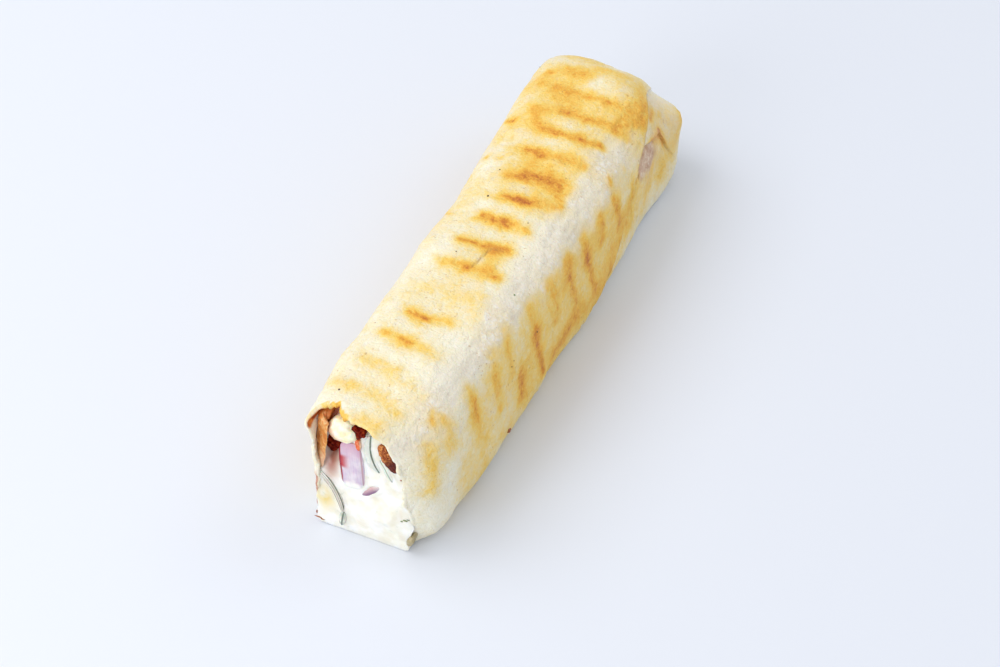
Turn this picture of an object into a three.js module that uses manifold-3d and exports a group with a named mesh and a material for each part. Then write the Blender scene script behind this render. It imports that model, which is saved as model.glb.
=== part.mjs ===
// Doner wrap: toasted flatbread rolled round meat, vegetables and white sauce, open at the mouth and
// folded shut at the far end. Millimetres. While it is shaped, Y runs from the mouth (Y = 0) to the folded
// end, X runs to the right of someone looking in at the mouth, and Z is up from the surface that the wrap
// lies on. Angles go round the roll's section: 0 is its right side, 90 its top, 180 its left and 270 its
// underside.
import * as THREE from "three";
import { mergeVertices } from "three/addons/utils/BufferGeometryUtils.js";
import Module from "manifold-3d";

const wasm = await Module();
wasm.setup();

// Driving sizes of the roll
const ROLL_LENGTH = 213;
const ROLL_HEIGHT = 49.4;
const PRESSED_FLAT = 1.2; // height lost where the rounded underside is pressed flat
const BREAD = 1.8; // thickness of one sheet of bread
const GAP = 0.3; // clearance between neighbouring pieces
const SAUCE_GAP = 0.5; // clearance between the sauce and the bread
const MOUTH_LEFT = 0.2; // the mouth's left wall, which sets where X = 0 is
const MOUTH_RIGHT = 36.3;
const BODY_RIGHT = 42.6; // the right wall behind the mouth
const LEFT_BULGE = 4.6; // how far the left wall swells behind the mouth
const LEFT_WIDENING = 4.7; // and how much further over every 200 mm
const LEFT_FLARE = 7; // lengths over which the pinched mouth opens out
const RIGHT_FLARE = 5;
const BELLY = 2; // the roll's swelling to the right about its middle
const BELLY_AT = 128;
const BELLY_SPAN = 50;

// How square the roll's four corners are: 2 is an ellipse, larger is squarer
const TOP_RIGHT_AT_MOUTH = 2.45;
const TOP_RIGHT = 2.9;
const TOP_LEFT = 4.6;
const BOTTOM_LEFT = 7;
const BOTTOM_RIGHT = 6;
const SHOULDER_RUN = 35; // distance behind the mouth where the top right corner is fully square

// The mouth is drawn out of shape by the filling and by handling
const MOUTH_LEAN = 2.7; // its right wall leans in by this much towards the top
const EAR_OUT = 3.6; // the outer sheet's top left corner sticks out as an ear
const EAR_AT = 134;
const EAR_SPAN = 12;
const SHAPE_FADE = 11; // both die away over this length

// The torn edge of the mouth: how far back the bread's edge lies
const TEAR_DEPTH = 6;
const TEAR_AT = 121;
const TEAR_SPAN = 8;
const TOP_DEPTH = 3; // along the left half of the top
const CORNER_DEPTH = 8; // at the bottom right corner
const CORNER_AT = -50;
const CORNER_SPAN = 9;
const UNDER_DEPTH = 4.5; // along the underside, where sauce runs out over it
const EDGE_FADE = 26; // the edge's unevenness dies away over this length

// The folded end
const FOLD_START = 184; // where the roll starts to close
const FOLD_CENTRE = 16; // height of the folded end's tip
const FOLD_BLUNT_ACROSS = 4.2;
const FOLD_BLUNT_UP = 2.1;
const PACKET_BULGE = 4; // the folded layers swell out to the right by this much
const PACKET_AT = [-27, 190]; // angle and distance from the mouth
const PACKET_SPAN = [34, 22];
const CORNER_CUT = 6; // the end's top right corner is rounded off by this much
const CORNER_CUT_AT = 46;
const CORNER_CUT_SPAN = 24;
const CORNER_CUT_RUN = [180, 203];
const PLEATS = 7; // folds gathered round the end
const PLEAT_DEPTH = 0.7;
const PLEAT_TURN = 0.6; // radians that the pleats are turned round the end by
const PLEAT_RUN = [192, 207];

// The outer sheet's free edge, which runs up the right side and over the folded end
const LAP_START = 123;
const LAP_END = 189;
const LAP_LOW = -50; // degrees
const LAP_HIGH = 52;
const LAP_FLOOR = -62; // the sheet below it fades into the underside here
const LAP_FADE_IN = [111, 131]; // distances over which the step at the edge grows to its full height
const LAP_DROP = 1.7; // the sheet underneath lies this much lower
const LAP_MIDDLE = -5; // the wall's inner face is lowered too, about this angle
const LAP_SPAN = 70;
const LAP_EDGE = 1.5; // degrees that the step itself takes up

// A corner of the folded layers below the free edge: its lower hem runs down from a peak both ways
const HEM = [
  [166, 35],
  [183, 23],
  [191, -4],
  [200, -35],
  [211, -50],
];
const HEM_DROP = 0.9;
const HEM_FADE_IN = [152, 166];
const HEM_FADE_OUT = [200, 208];

// The inner turn of the bread, which thickens the wall at the top left, with a narrow pocket outside it
const TURN_THICK = 2.4;
const TURN_AT = 152;
const TURN_SPAN = 26;
const POCKET = [
  [-0.8, 43],
  [1, 38],
  [2.2, 33.5],
  [1.9, 42],
  [2.2, 47.6],
];
const POCKET_END = [1.6, 39];
const POCKET_DEPTH = 16;
const POCKET_RINGS = [
  [-3, 0],
  [2, 0.05],
  [0.6 * POCKET_DEPTH, 0.4],
  [POCKET_DEPTH, 0.85],
]; // distances from the mouth, and how far the outline has narrowed towards its end

// The filling's face at the mouth slopes back from its foot to its top
const FACE_LOW = -2;
const FACE_HIGH = 4.5;
const FACE_RISE = [4, 48]; // heights over which it slopes
const FACE_BULGE = 0.9;
const FACE_MIDDLE = [17, 22];
const FACE_RINGS = [0.3, 0.6, 0.8, 0.93, 1]; // rings of the sauce's face, as shares of the way to its rim
const FACE_HOLLOWS = [
  { at: [5, 45.5], wide: 5, deep: 7.5 },
  { at: [5.5, 33], wide: 3, deep: 1.5 },
  { at: [27, 37.5], wide: 3.5, deep: 2 },
];
const SAUCE_LIP = 3.5; // sauce in front of the bread's lower edge reaches back to here
const SAUCE_SETBACK = 0.8; // elsewhere its rim lies this far behind its face
const LIP_DROP = 0.5; // and lies this much inside the bread's outer surface
const LIP_STEP = 0.1; // least distance between the sauce's rings behind its lip

// How finely the pieces are divided
const OVER_COLUMNS = 42;
const UNDER_COLUMNS = 9;
const MOUTH_ROWS = [0, 2, 5, 10]; // distances of the rows nearest the mouth
const BODY_ROWS = 22;
const FOLD_ROWS = 9;
const INNER_ROWS = 6;
const INNER_FOLD_ROWS = 4;

const radians = THREE.MathUtils.degToRad;
const lerp = THREE.MathUtils.lerp;
const clamp = THREE.MathUtils.clamp;
const smooth = THREE.MathUtils.smoothstep;
const bump = (value, centre, span) => Math.exp(-(((value - centre) / span) ** 2));
const wrapped = (angle) => ((((angle + 180) % 360) + 360) % 360) - 180;

// Left and right reach of the roll at a distance from the mouth
function reach(y) {
  const behind = Math.max(y, 0);
  const leftFlare = Math.exp(-behind / LEFT_FLARE);
  const rightFlare = Math.exp(-behind / RIGHT_FLARE);
  return {
    left: MOUTH_LEFT - LEFT_BULGE * (1 - leftFlare) - (LEFT_WIDENING * behind) / 200,
    right: lerp(BODY_RIGHT + BELLY * bump(y, BELLY_AT, BELLY_SPAN), MOUTH_RIGHT, rightFlare),
  };
}

// How far the section has closed towards the folded end, across and upwards: 1 is not at all
function closing(y) {
  const along = clamp((y - FOLD_START) / (ROLL_LENGTH - FOLD_START), 0, 1);
  return {
    across: (1 - along ** FOLD_BLUNT_ACROSS) ** (1 / FOLD_BLUNT_ACROSS),
    up: (1 - along ** FOLD_BLUNT_UP) ** (1 / FOLD_BLUNT_UP),
  };
}

// Corner squareness at an angle round the section
function squareness(angle, y) {
  const a = wrapped(angle);
  if (a >= 90) return TOP_LEFT;
  if (a >= 0) return lerp(TOP_RIGHT_AT_MOUTH, TOP_RIGHT, smooth(y, 0, SHOULDER_RUN));
  return a >= -90 ? BOTTOM_RIGHT : BOTTOM_LEFT;
}

// Soft swellings of the filling under the bread, and the folded end's bulge, rounded corner and pleats
function swelling(angle, y) {
  const a = radians(angle);
  const lumps =
    0.4 * Math.sin(y / 11 + 2 * a) * Math.sin(a + 1.1) +
    0.3 * Math.sin(y / 6.3 - 3 * a + 0.7) +
    0.25 * Math.sin(y / 23 + 5 * a);
  const side = wrapped(angle);
  const packet =
    PACKET_BULGE *
    bump(side, PACKET_AT[0], PACKET_SPAN[0]) *
    bump(y, PACKET_AT[1], PACKET_SPAN[1]);
  const corner = CORNER_CUT * bump(side, CORNER_CUT_AT, CORNER_CUT_SPAN) * smooth(y, ...CORNER_CUT_RUN);
  const pleats = PLEAT_DEPTH * Math.sin(PLEATS * a + PLEAT_TURN) * smooth(y, ...PLEAT_RUN);
  return lumps + packet + pleats - corner;
}

// Distance behind the mouth's plane where the bread's edge lies, round the section
function mouthEdge(angle) {
  const a = wrapped(angle);
  const under = smooth(-a, 46, 56) * (1 - smooth(-a, 122, 136));
  const top = smooth(a, 76, 104) * (1 - smooth(a, 125, 133));
  return (
    TEAR_DEPTH * bump(a, TEAR_AT, TEAR_SPAN) +
    TOP_DEPTH * top +
    CORNER_DEPTH * bump(a, CORNER_AT, CORNER_SPAN) +
    UNDER_DEPTH * under +
    (1 - under) * (0.3 * Math.sin(radians(7 * a)) + 0.25 * Math.sin(radians(17 * a + 40)))
  );
}

// Angle of the outer sheet's free edge at a distance from the mouth
function lapAngle(y) {
  return lerp(LAP_LOW, LAP_HIGH, smooth(y, LAP_START, LAP_END));
}

// Angle of the folded corner's hem at a distance from the mouth
function hemAngle(y) {
  const next = HEM.findIndex(([at]) => y < at);
  if (next <= 0) return next < 0 ? LAP_FLOOR : HEM[0][1];
  const [from, to] = [HEM[next - 1], HEM[next]];
  return lerp(from[1], to[1], (y - from[0]) / (to[0] - from[0]));
}

// How much lower than the outer sheet the bread lies at an angle below its free edge
function underDepth(angle, y) {
  const a = wrapped(angle);
  const shown = smooth(y, ...LAP_FADE_IN) * smooth(a, LAP_FLOOR, LAP_FLOOR + 24);
  const below = smooth(hemAngle(y) - a, -1.5, 2.5);
  const folded = smooth(y, ...HEM_FADE_IN) * (1 - smooth(y, ...HEM_FADE_OUT));
  return (LAP_DROP + HEM_DROP * lerp(-1, 1, below) * folded) * shown;
}

// A point of the roll, a depth below its surface. The section is a superellipse with four different
// corners: its radius at an angle is the one that satisfies |x/a|^n + |z/b|^n = 1.
function rollPoint(angle, y, depth = 0) {
  const { left, right } = reach(y);
  const { across, up } = closing(y);
  const a = radians(angle);
  const n = squareness(angle, y);
  const halfWidth = (right - left) / 2;
  const halfHeight = ROLL_HEIGHT / 2;
  const c = Math.cos(a);
  const s = Math.sin(a);
  const radius = (Math.abs(c / halfWidth) ** n + Math.abs(s / halfHeight) ** n) ** (-1 / n);
  const kept = radius + swelling(angle, y) - depth;
  const shaped = Math.exp(-Math.max(y, 0) / SHAPE_FADE);
  const lean = c > 0 ? MOUTH_LEAN * smooth(s, -0.7, 0.25) : 0;
  const outer = clamp(1 - depth / (BREAD + TURN_THICK), 0, 1);
  const ear = EAR_OUT * bump(wrapped(angle), EAR_AT, EAR_SPAN) * outer;
  const x = (left + right) / 2 + kept * c * across - (lean + ear) * shaped;
  const z = Math.max(halfHeight + kept * s, PRESSED_FLAT + Math.max(depth, 0)) - PRESSED_FLAT;
  return new THREE.Vector3(x, y, FOLD_CENTRE + (z - FOLD_CENTRE) * up);
}

// A closed solid lofted through rings of equal length, each end closed by a fan to its centre
function loft(rings) {
  const sides = rings[0].length;
  const points = rings.flat();
  const faces = [];
  for (let r = 0; r < rings.length - 1; r++) {
    for (let i = 0; i < sides; i++) {
      const a = r * sides + i;
      const b = r * sides + ((i + 1) % sides);
      faces.push(a, a + sides, b + sides, a, b + sides, b);
    }
  }
  const centre = (ring) => ring.reduce((sum, p) => sum.add(p), new THREE.Vector3()).divideScalar(sides);
  const start = points.push(centre(rings[0])) - 1;
  const end = points.push(centre(rings.at(-1))) - 1;
  const last = (rings.length - 1) * sides;
  for (let i = 0; i < sides; i++) {
    const next = (i + 1) % sides;
    faces.push(start, i, next, end, last + next, last + i);
  }
  const geometry = new THREE.BufferGeometry().setFromPoints(points);
  geometry.setIndex(faces);
  return geometry;
}

function toSolid(geometry) {
  const bare = geometry.clone();
  bare.deleteAttribute("normal");
  bare.deleteAttribute("uv");
  const merged = mergeVertices(bare, 1e-4);
  const solid = new wasm.Manifold(
    new wasm.Mesh({
      numProp: 3,
      vertProperties: new Float32Array(merged.attributes.position.array),
      triVerts: new Uint32Array(merged.index.array),
    }),
  );
  if (solid.volume() < 0) throw new Error("a solid is inside out");
  return solid;
}

function toGeometry(solid) {
  const mesh = solid.getMesh();
  const geometry = new THREE.BufferGeometry();
  geometry.setAttribute("position", new THREE.BufferAttribute(new Float32Array(mesh.vertProperties), 3));
  geometry.setIndex(new THREE.BufferAttribute(new Uint32Array(mesh.triVerts), 1));
  return geometry;
}

// The largest body of a solid, so that no loose scrap is kept
function largest(solid) {
  return solid.decompose().reduce((best, body) => (body.volume() > best.volume() ? body : best));
}

// Angles and depths of the bread's columns at a distance from the mouth: from the free edge over the top,
// left and underside, then up the sheet underneath to the foot of the free edge. As the edge moves round,
// the columns near it move with it, by the cube of how near they are, and the rest stay in line.
function breadColumns(y) {
  const lap = lapAngle(y);
  const columns = [];
  for (let i = 0; i <= OVER_COLUMNS; i++) {
    const share = i / OVER_COLUMNS;
    const angle = lerp(LAP_LOW, 360 + LAP_FLOOR, share) + (lap - LAP_LOW) * (1 - share) ** 3;
    columns.push({ angle, depth: 0 });
  }
  for (let i = 1; i <= UNDER_COLUMNS; i++) {
    const angle = lerp(LAP_FLOOR, lap - LAP_EDGE, i / UNDER_COLUMNS);
    columns.push({ angle: angle + 360, depth: underDepth(angle, y) });
  }
  return columns;
}

// Distances from the mouth of a piece's rows: close together at the mouth, even along the body, then
// closing in on the folded end
function rowDistances(bodyRows, foldRows, end) {
  const rows = [...MOUTH_ROWS];
  for (let i = 1; i <= bodyRows; i++) rows.push(lerp(MOUTH_ROWS.at(-1), FOLD_START, i / bodyRows));
  for (let i = 1; i <= foldRows; i++) {
    rows.push(lerp(FOLD_START, end, Math.sin((Math.PI / 2) * (i / (foldRows + 0.5)))));
  }
  return rows;
}

// A row that starts at the mouth's torn edge and evens out behind it
function behindEdge(angle, y) {
  return y + mouthEdge(angle) * Math.max(0, 1 - y / EDGE_FADE);
}

// Depth of the wall's inner face: one sheet, more where the inner turn lies against it, and deeper under
// the free edge
function wallDepth(angle, y) {
  const round = ((angle % 360) + 360) % 360;
  const turn = TURN_THICK * bump(round, TURN_AT, TURN_SPAN);
  const lower = smooth(y, ...LAP_FADE_IN) * bump(wrapped(angle), LAP_MIDDLE, LAP_SPAN);
  return BREAD + turn + (LAP_DROP + HEM_DROP) * lower;
}

const innerAngles = breadColumns(0).map(({ angle }) => angle);

function innerPoint(angle, y, extra = 0) {
  return rollPoint(angle, y, wallDepth(angle, y) + extra);
}

const CAVITY_END = ROLL_LENGTH - 3.5 * BREAD; // the folded layers close the end
const ROOM_PAST = 9; // how far the room for the filling is carried on in front of the mouth

function breadSolid() {
  const outer = rowDistances(BODY_ROWS, FOLD_ROWS, ROLL_LENGTH).map((y) =>
    breadColumns(y).map(({ angle, depth }) => rollPoint(angle, behindEdge(angle, y), depth)),
  );
  const inner = rowDistances(INNER_ROWS, INNER_FOLD_ROWS, CAVITY_END).map((y) =>
    innerAngles.map((angle) => innerPoint(angle, behindEdge(angle, y))),
  );
  return toSolid(loft([...inner.reverse(), ...outer]));
}

// The narrow pocket between the outer sheet and its inner turn, open at the mouth
function pocketSolid() {
  const rings = POCKET_RINGS.map(([y, share]) =>
    POCKET.map(([x, z]) => new THREE.Vector3(lerp(x, POCKET_END[0], share), y, lerp(z, POCKET_END[1], share))),
  );
  return toSolid(loft(rings));
}

// The room inside the bread, carried on past the mouth, less a gap
function roomSolid(gap) {
  const rings = rowDistances(INNER_ROWS, INNER_FOLD_ROWS, CAVITY_END - gap).map((y) =>
    innerAngles.map((angle) => innerPoint(angle, behindEdge(angle, y), gap)),
  );
  const front = rings[0].map((point) => point.clone().setY(-ROOM_PAST));
  return toSolid(loft([front, ...rings]));
}

// The pieces of filling run through the roll from its face. Each section is a superellipse about a point
// of the face, tilted clockwise from upright and bowed to the right; front is how far it stands proud of
// the sauce.
const FILLINGS = {
  coated_chicken: { at: [8.7, 40.4], half: [4.3, 4.8], square: 2.2, front: 1.4, color: "#f3ead0" },
  dark_meat: { at: [15.4, 42.2], half: [2.3, 2], tilt: 12, square: 2.4, front: 0.2, color: "#4a1410" },
  grilled_meat: { at: [25.2, 35], half: [1.9, 4.7], tilt: -43, square: 2.8, front: 0.7, color: "#7c3a20" },
  meat_by_fold: { at: [6.1, 32], half: [1.5, 3], tilt: 8, square: 2.4, front: -0.4, color: "#6a1f10" },
  red_onion: { at: [12.8, 27.8], half: [4, 7.8], tilt: -8, square: 3.4, front: 0.9, color: "#dcc2d8" },
  onion_scrap: { at: [20.4, 21.9], half: [1.1, 3.1], tilt: 52, square: 2.4, front: 0.7, color: "#a98aa6" },
  tomato_bit: { at: [14.2, 37.3], half: [0.8, 1.8], square: 2.2, front: 0.8, color: "#d9542a" },
  cucumber_slice: {
    at: [19.9, 33.4], half: [0.95, 6.1], tilt: -24, bow: -1.5, square: 3, front: 0.9, color: "#dfe6cf",
  },
  cucumber_edge: { at: [24.3, 29.2], half: [0.8, 3.6], tilt: -38, square: 2.6, front: 0.4, color: "#cfd8c4" },
  cucumber_strip: {
    at: [6.3, 12], half: [0.95, 8.4], tilt: -18, bow: 2.8, square: 3, front: 0.8, color: "#c9cfbf",
  },
  olive_bit: { at: [33.9, 7.9], half: [1, 2.6], tilt: 22, square: 2.4, front: 0.6, color: "#8c8468" },
};
const FILLING_END = 184;
const FILLING_SIDES = 12;
const FILLING_STOPS = [20, 60, 110, 150]; // distances along it where a piece has a ring
const ROUNDED = 0.75; // size of a piece's blunt ends against its full section

function faceFront(z) {
  return lerp(FACE_LOW, FACE_HIGH, smooth(z, ...FACE_RISE));
}

// Depth of the hollows in the face of the sauce, where it doesn't reach the bread
function faceHollow({ x, z }) {
  let depth = 0;
  for (const { at, wide, deep } of FACE_HOLLOWS) depth += deep * bump(x, at[0], wide) * bump(z, at[1], wide);
  return depth;
}

// Where a place on the face is carried to across the roll at a distance from the mouth
function carriedX([x, z], y) {
  const face = reach(faceFront(z));
  const { left, right } = reach(y);
  return left + ((x - face.left) * (right - left)) / (face.right - face.left);
}

function fillingSolid({ at, half, tilt = 0, bow = 0, square, front }, grow = 0) {
  const t = radians(tilt);
  const round = Math.min(half[0], half[1]) * 0.5;
  const stops = [[-front - grow, ROUNDED], [-front - grow + round, 1]];
  for (const along of FILLING_STOPS) stops.push([along, 1]);
  stops.push([FILLING_END + grow, ROUNDED]);
  const rings = stops.map(([along, size]) => {
    const ring = [];
    for (let i = 0; i < FILLING_SIDES; i++) {
      const a = (2 * Math.PI * i) / FILLING_SIDES;
      const across = Math.sign(Math.cos(a)) * Math.abs(Math.cos(a)) ** (2 / square);
      const upward = Math.sign(Math.sin(a)) * Math.abs(Math.sin(a)) ** (2 / square);
      const px = across * (half[0] * size + grow) + bow * (1 - upward ** 2);
      const pz = upward * (half[1] * size + grow);
      const z = at[1] - px * Math.sin(t) + pz * Math.cos(t);
      const y = along + faceFront(z) * Math.max(0, 1 - along / EDGE_FADE);
      const x = at[0] + px * Math.cos(t) + pz * Math.sin(t);
      ring.push(new THREE.Vector3(carriedX(at, y) + x - at[0], y, z));
    }
    return ring;
  });
  return toSolid(loft(rings));
}

// The white sauce fills what the bread and the pieces leave. It bulges at the mouth and runs out over the
// bread's lower edge onto the surface below.
function sauceSolid() {
  const angles = innerAngles.filter((_, i) => i % 2 === 0);
  const low = (angle) => {
    const a = wrapped(angle);
    return smooth(-a, 46, 60) * (1 - smooth(-a, 116, 130));
  };
  const rim = angles.map((angle) => {
    const point = rollPoint(angle, 0, lerp(wallDepth(angle, 0) + SAUCE_GAP, LIP_DROP, low(angle)));
    return point.setZ(lerp(point.z, Math.max(0, point.z - LIP_DROP), low(angle)));
  });
  const middle = new THREE.Vector3(FACE_MIDDLE[0], 0, FACE_MIDDLE[1]);
  const faceRing = (share) =>
    rim.map((p) => {
      const q = p.clone().lerp(middle, 1 - share);
      return q.setY(faceFront(q.z) + faceHollow(q) - FACE_BULGE * (1 - share ** 2));
    });
  const lip = rim.map((p, i) =>
    p.clone().setY(lerp(faceFront(p.z) + faceHollow(p) + SAUCE_SETBACK, SAUCE_LIP, low(angles[i]))),
  );
  const rings = [...FACE_RINGS.map(faceRing), lip];
  rowDistances(INNER_ROWS, INNER_FOLD_ROWS, CAVITY_END - SAUCE_GAP).forEach((y, row) => {
    const clear = row === 0 ? SAUCE_GAP : 0;
    rings.push(
      angles.map((angle, i) => {
        const at = Math.max(behindEdge(angle, y) - clear, lip[i].y + LIP_STEP * (row + 1));
        return innerPoint(angle, at, SAUCE_GAP);
      }),
    );
  });
  return toSolid(loft(rings));
}

// Assembly
const group = new THREE.Group();

function addPiece(name, solid, color, roughness) {
  const material = new THREE.MeshStandardMaterial({ color, roughness, metalness: 0 });
  const mesh = new THREE.Mesh(toGeometry(largest(solid)), material);
  mesh.name = name;
  group.add(mesh);
}

const room = roomSolid(SAUCE_GAP);
let sauce = sauceSolid();
for (const [name, filling] of Object.entries(FILLINGS)) {
  sauce = sauce.subtract(fillingSolid(filling, GAP));
  addPiece(name, fillingSolid(filling).intersect(room), filling.color, 0.5);
}
addPiece("sauce", sauce, "#fbf8ea", 0.25);
addPiece("flatbread", breadSolid().subtract(pocketSolid()), "#ead9a8", 0.75);

// The origin is at the middle of the underside
const box = new THREE.Box3().setFromObject(group);
group.position.set(-(box.min.x + box.max.x) / 2, -(box.min.y + box.max.y) / 2, -box.min.z);

export default group;
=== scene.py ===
# %% [markdown]
# A toasted doner wrap lies on its flattened side: thin flatbread rolled round meat, onion, cucumber and
# white sauce, open at one end and folded shut at the other. It could be sculpted by hand, but a roll is a
# section carried along a line, so each surface here is a formula of two parameters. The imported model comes
# first, because every piece has to lie where its solid lies.

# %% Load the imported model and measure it
import math

import bpy
import numpy as np
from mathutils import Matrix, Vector


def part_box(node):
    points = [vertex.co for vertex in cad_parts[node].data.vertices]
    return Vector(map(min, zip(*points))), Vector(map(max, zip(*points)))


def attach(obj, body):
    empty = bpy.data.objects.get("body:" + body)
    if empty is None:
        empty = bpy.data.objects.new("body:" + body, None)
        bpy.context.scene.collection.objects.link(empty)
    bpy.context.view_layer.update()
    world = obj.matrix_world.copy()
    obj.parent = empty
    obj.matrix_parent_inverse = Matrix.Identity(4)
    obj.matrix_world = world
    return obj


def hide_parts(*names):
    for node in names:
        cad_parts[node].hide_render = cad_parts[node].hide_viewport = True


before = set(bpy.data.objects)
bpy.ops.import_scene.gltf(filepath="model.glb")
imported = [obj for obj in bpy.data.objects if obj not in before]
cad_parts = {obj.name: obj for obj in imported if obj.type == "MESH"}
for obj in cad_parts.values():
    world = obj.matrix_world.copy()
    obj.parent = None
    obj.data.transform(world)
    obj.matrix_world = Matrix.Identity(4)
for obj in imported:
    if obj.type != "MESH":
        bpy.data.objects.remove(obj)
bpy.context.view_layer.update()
print("nodes:", ", ".join(sorted(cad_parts)))

# %% [markdown]
# The wrap is drawn in millimetres. Y runs from the mouth to the folded end, X to the right of someone
# looking in, and Z up. Angles go round the section: 0 is the right side, 90 the top, 180 the left and 270
# the underside. Two known places of the drawing, its leftmost and its farthest point, tell how far it has
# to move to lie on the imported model, so nothing is fitted by eye.

# %% Sizes of the roll, and the move from the drawing to the model
LEFTMOST = -9.53
FARTHEST = 212.9
# The length and height of the roll, what is pressed away below, and the thickness of one sheet
ROLL_LENGTH = 213
ROLL_HEIGHT = 49.4
PRESSED_FLAT = 1.2
BREAD = 1.8
# Where the walls stand at the mouth and behind it, and over what distance they get there
MOUTH_LEFT = 0.2
MOUTH_RIGHT = 36.3
BODY_RIGHT = 42.6
LEFT_BULGE = 4.6
LEFT_WIDENING = 4.7
LEFT_FLARE = 7
RIGHT_FLARE = 5
# The end closes from this distance on, towards a point at this height
FOLD_START = 184
FOLD_CENTRE = 16

bread_low, bread_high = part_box("flatbread")
SHIFT = np.array([1000 * bread_low.x - LEFTMOST, 1000 * bread_high.y - FARTHEST, 0.0])


def to_model(points):
    """Drawing millimetres to the model's metres: add the shift, divide by a thousand."""
    return (points + SHIFT) / 1000


print("shift in mm:", SHIFT.round(2))

# %% [markdown]
# Five small helpers carry all the blending: a straight mix, an S-shaped step, a step up and down again, a
# bell, and an angle brought back to between -180 and 180. They take whole arrays, so a hundred thousand
# points cost one call.

# %% Helpers for blending
def lerp(a, b, share):
    """a at share 0, b at share 1."""
    return a + (b - a) * share


def smooth(value, low, high):
    """0 below low, 1 above high, and 3t² − 2t³ between them."""
    t = np.clip((value - low) / (high - low), 0, 1)
    return t * t * (3 - 2 * t)


def plateau(value, low, full, fall, gone):
    """A smooth step up from low to full, times a smooth step down from fall to gone."""
    return smooth(value, low, full) * (1 - smooth(value, fall, gone))


def bump(value, centre, span):
    """A bell: e to the power of −((value − centre) / span)²."""
    return np.exp(-(((value - centre) / span) ** 2))


def wrapped(angle):
    """The same angle between −180 and 180 degrees."""
    return (angle + 180) % 360 - 180


# %% [markdown]
# Bread and meat are uneven at every size. Lumps of a chosen size come from value noise: each corner of a
# lattice of cells gets a number that only depends on where it is, and a point inside a cell blends its
# eight corners. It repeats exactly in each run, and stretching the points stretches lumps into wrinkles.

# %% Noise for relief and patches
def corner_value(corners, seed):
    """A number from 0 to 1 for each lattice corner: the fraction of a large multiple of a sine."""
    turn = corners @ np.array([127.1, 311.7, 74.7]) + 17.3 * seed
    return np.abs(np.sin(turn) * 43758.5453) % 1


def noise(points, size, seed=0):
    """Lumps about size across, from −1 to 1: corner values blended with smooth weights in x, y and z."""
    cell = points / size
    base = np.floor(cell)
    part = smooth(cell - base, 0, 1)
    total = np.zeros(points.shape[:-1])
    for corner in np.ndindex(2, 2, 2):
        weight = np.prod(np.where(corner, part, 1 - part), axis=-1)
        total += weight * corner_value(base + corner, seed)
    return 2 * total - 1


def rough(points, size, seed=0):
    """Three noises on top of each other, each half as large and half as strong as the last."""
    return sum(noise(points, size / 2**step, seed + step) / 2**step for step in range(3))


print("noise at three points:", noise(np.array([[0, 0, 0], [1, 2, 3], [4, 5, 6.5]]), 2.0).round(2))

# %% [markdown]
# Every piece is a skin over a row of closed rings, as a baker's ribs would carry a cloth. First come the
# faces: quads between neighbours in the grid, and a fan that closes each end round a middle point. The
# volume that they enclose tells whether they point outwards.

# %% Faces over a grid of points
def grid_faces(rows, columns):
    """Corners of every face of one skin: the quads, and the triangles to the two middles."""
    row, column = np.meshgrid(np.arange(rows - 1), np.arange(columns), indexing="ij")
    here = row * columns + column
    beside = row * columns + (column + 1) % columns
    quads = np.stack([here, here + columns, beside + columns, beside], -1).reshape(-1, 4)
    ring = np.arange(columns)
    after = (ring + 1) % columns
    last = (rows - 1) * columns
    first_fan = np.stack([np.full(columns, rows * columns), ring, after], -1)
    last_fan = np.stack([np.full(columns, rows * columns + 1), last + after, last + ring], -1)
    return quads, np.concatenate([first_fan, last_fan])


def enclosed(points, triangles):
    """Volume inside closed triangles: a sixth of the sum of a · (b × c)."""
    a, b, c = (points[triangles[:, corner]] for corner in range(3))
    return np.einsum("ij,ij->", a, np.cross(b, c)) / 6


def with_middles(values):
    """Each skin's grid as one list, followed by the means of its first and its last ring."""
    middles = values[:, [0, -1]].mean(2)
    return np.concatenate([values.reshape(len(values), -1, *values.shape[3:]), middles], 1)


# %% [markdown]
# One function turns rings into a mesh. It turns the skin over if its volume comes out negative, so that
# faces always point outwards. Numbers for the materials, such as how toasted a point is, ride along as
# attributes of the mesh. Each piece then gets a material and moves with the one body that the wrap is.

# %% Making a piece
def link_object(name, data):
    """A new object at the origin, in the scene."""
    made = bpy.data.objects.new(name, data)
    bpy.context.scene.collection.objects.link(made)
    return made


def loft(name, rings, attributes):
    """A closed skin over rings, or one for each of a stack of them, with all faces outwards."""
    rows, columns = rings.shape[-3:-1]
    stack = rings.reshape(-1, rows, columns, 3)
    points = to_model(with_middles(stack).reshape(-1, 3))
    offsets = (rows * columns + 2) * np.arange(len(stack))[:, None, None]
    quads, fans = (faces + offsets for faces in grid_faces(rows, columns))
    quads, fans = quads.reshape(-1, 4), fans.reshape(-1, 3)
    volume = enclosed(points, np.concatenate([quads[:, :3], quads[:, [0, 2, 3]], fans]))
    if volume < 0:
        quads, fans = quads[:, ::-1], fans[:, ::-1]
    mesh = bpy.data.meshes.new(name)
    mesh.from_pydata(points.tolist(), [], quads.tolist() + fans.tolist())
    mesh.shade_smooth()
    for key, values in attributes.items():
        full = with_middles(values.reshape(stack.shape[:3])).astype(np.float32)
        mesh.attributes.new(key, "FLOAT", "POINT").data.foreach_set("value", full.ravel())
    print(f"{name}: {len(mesh.polygons)} faces, {abs(volume) * 1e6:.2f} cm³")
    return link_object(name, mesh)


def finish_piece(made, material, slot, *nodes):
    """The piece gets its material, rides on the one body, and stands for the nodes that it replaces."""
    made.data.materials.append(material)
    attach(made, "root")
    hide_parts(*nodes)


# %% [markdown]
# The roll's section is a superellipse, the curve between an ellipse and a rectangle, with a squareness of
# its own at each corner: the underside is pressed flat on the grill, the top right corner is soft. Along
# the roll the section widens behind the pinched mouth and closes over the folded end. These are the packed
# solid's own formulas, so the fine skin lies on the plain one.

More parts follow.
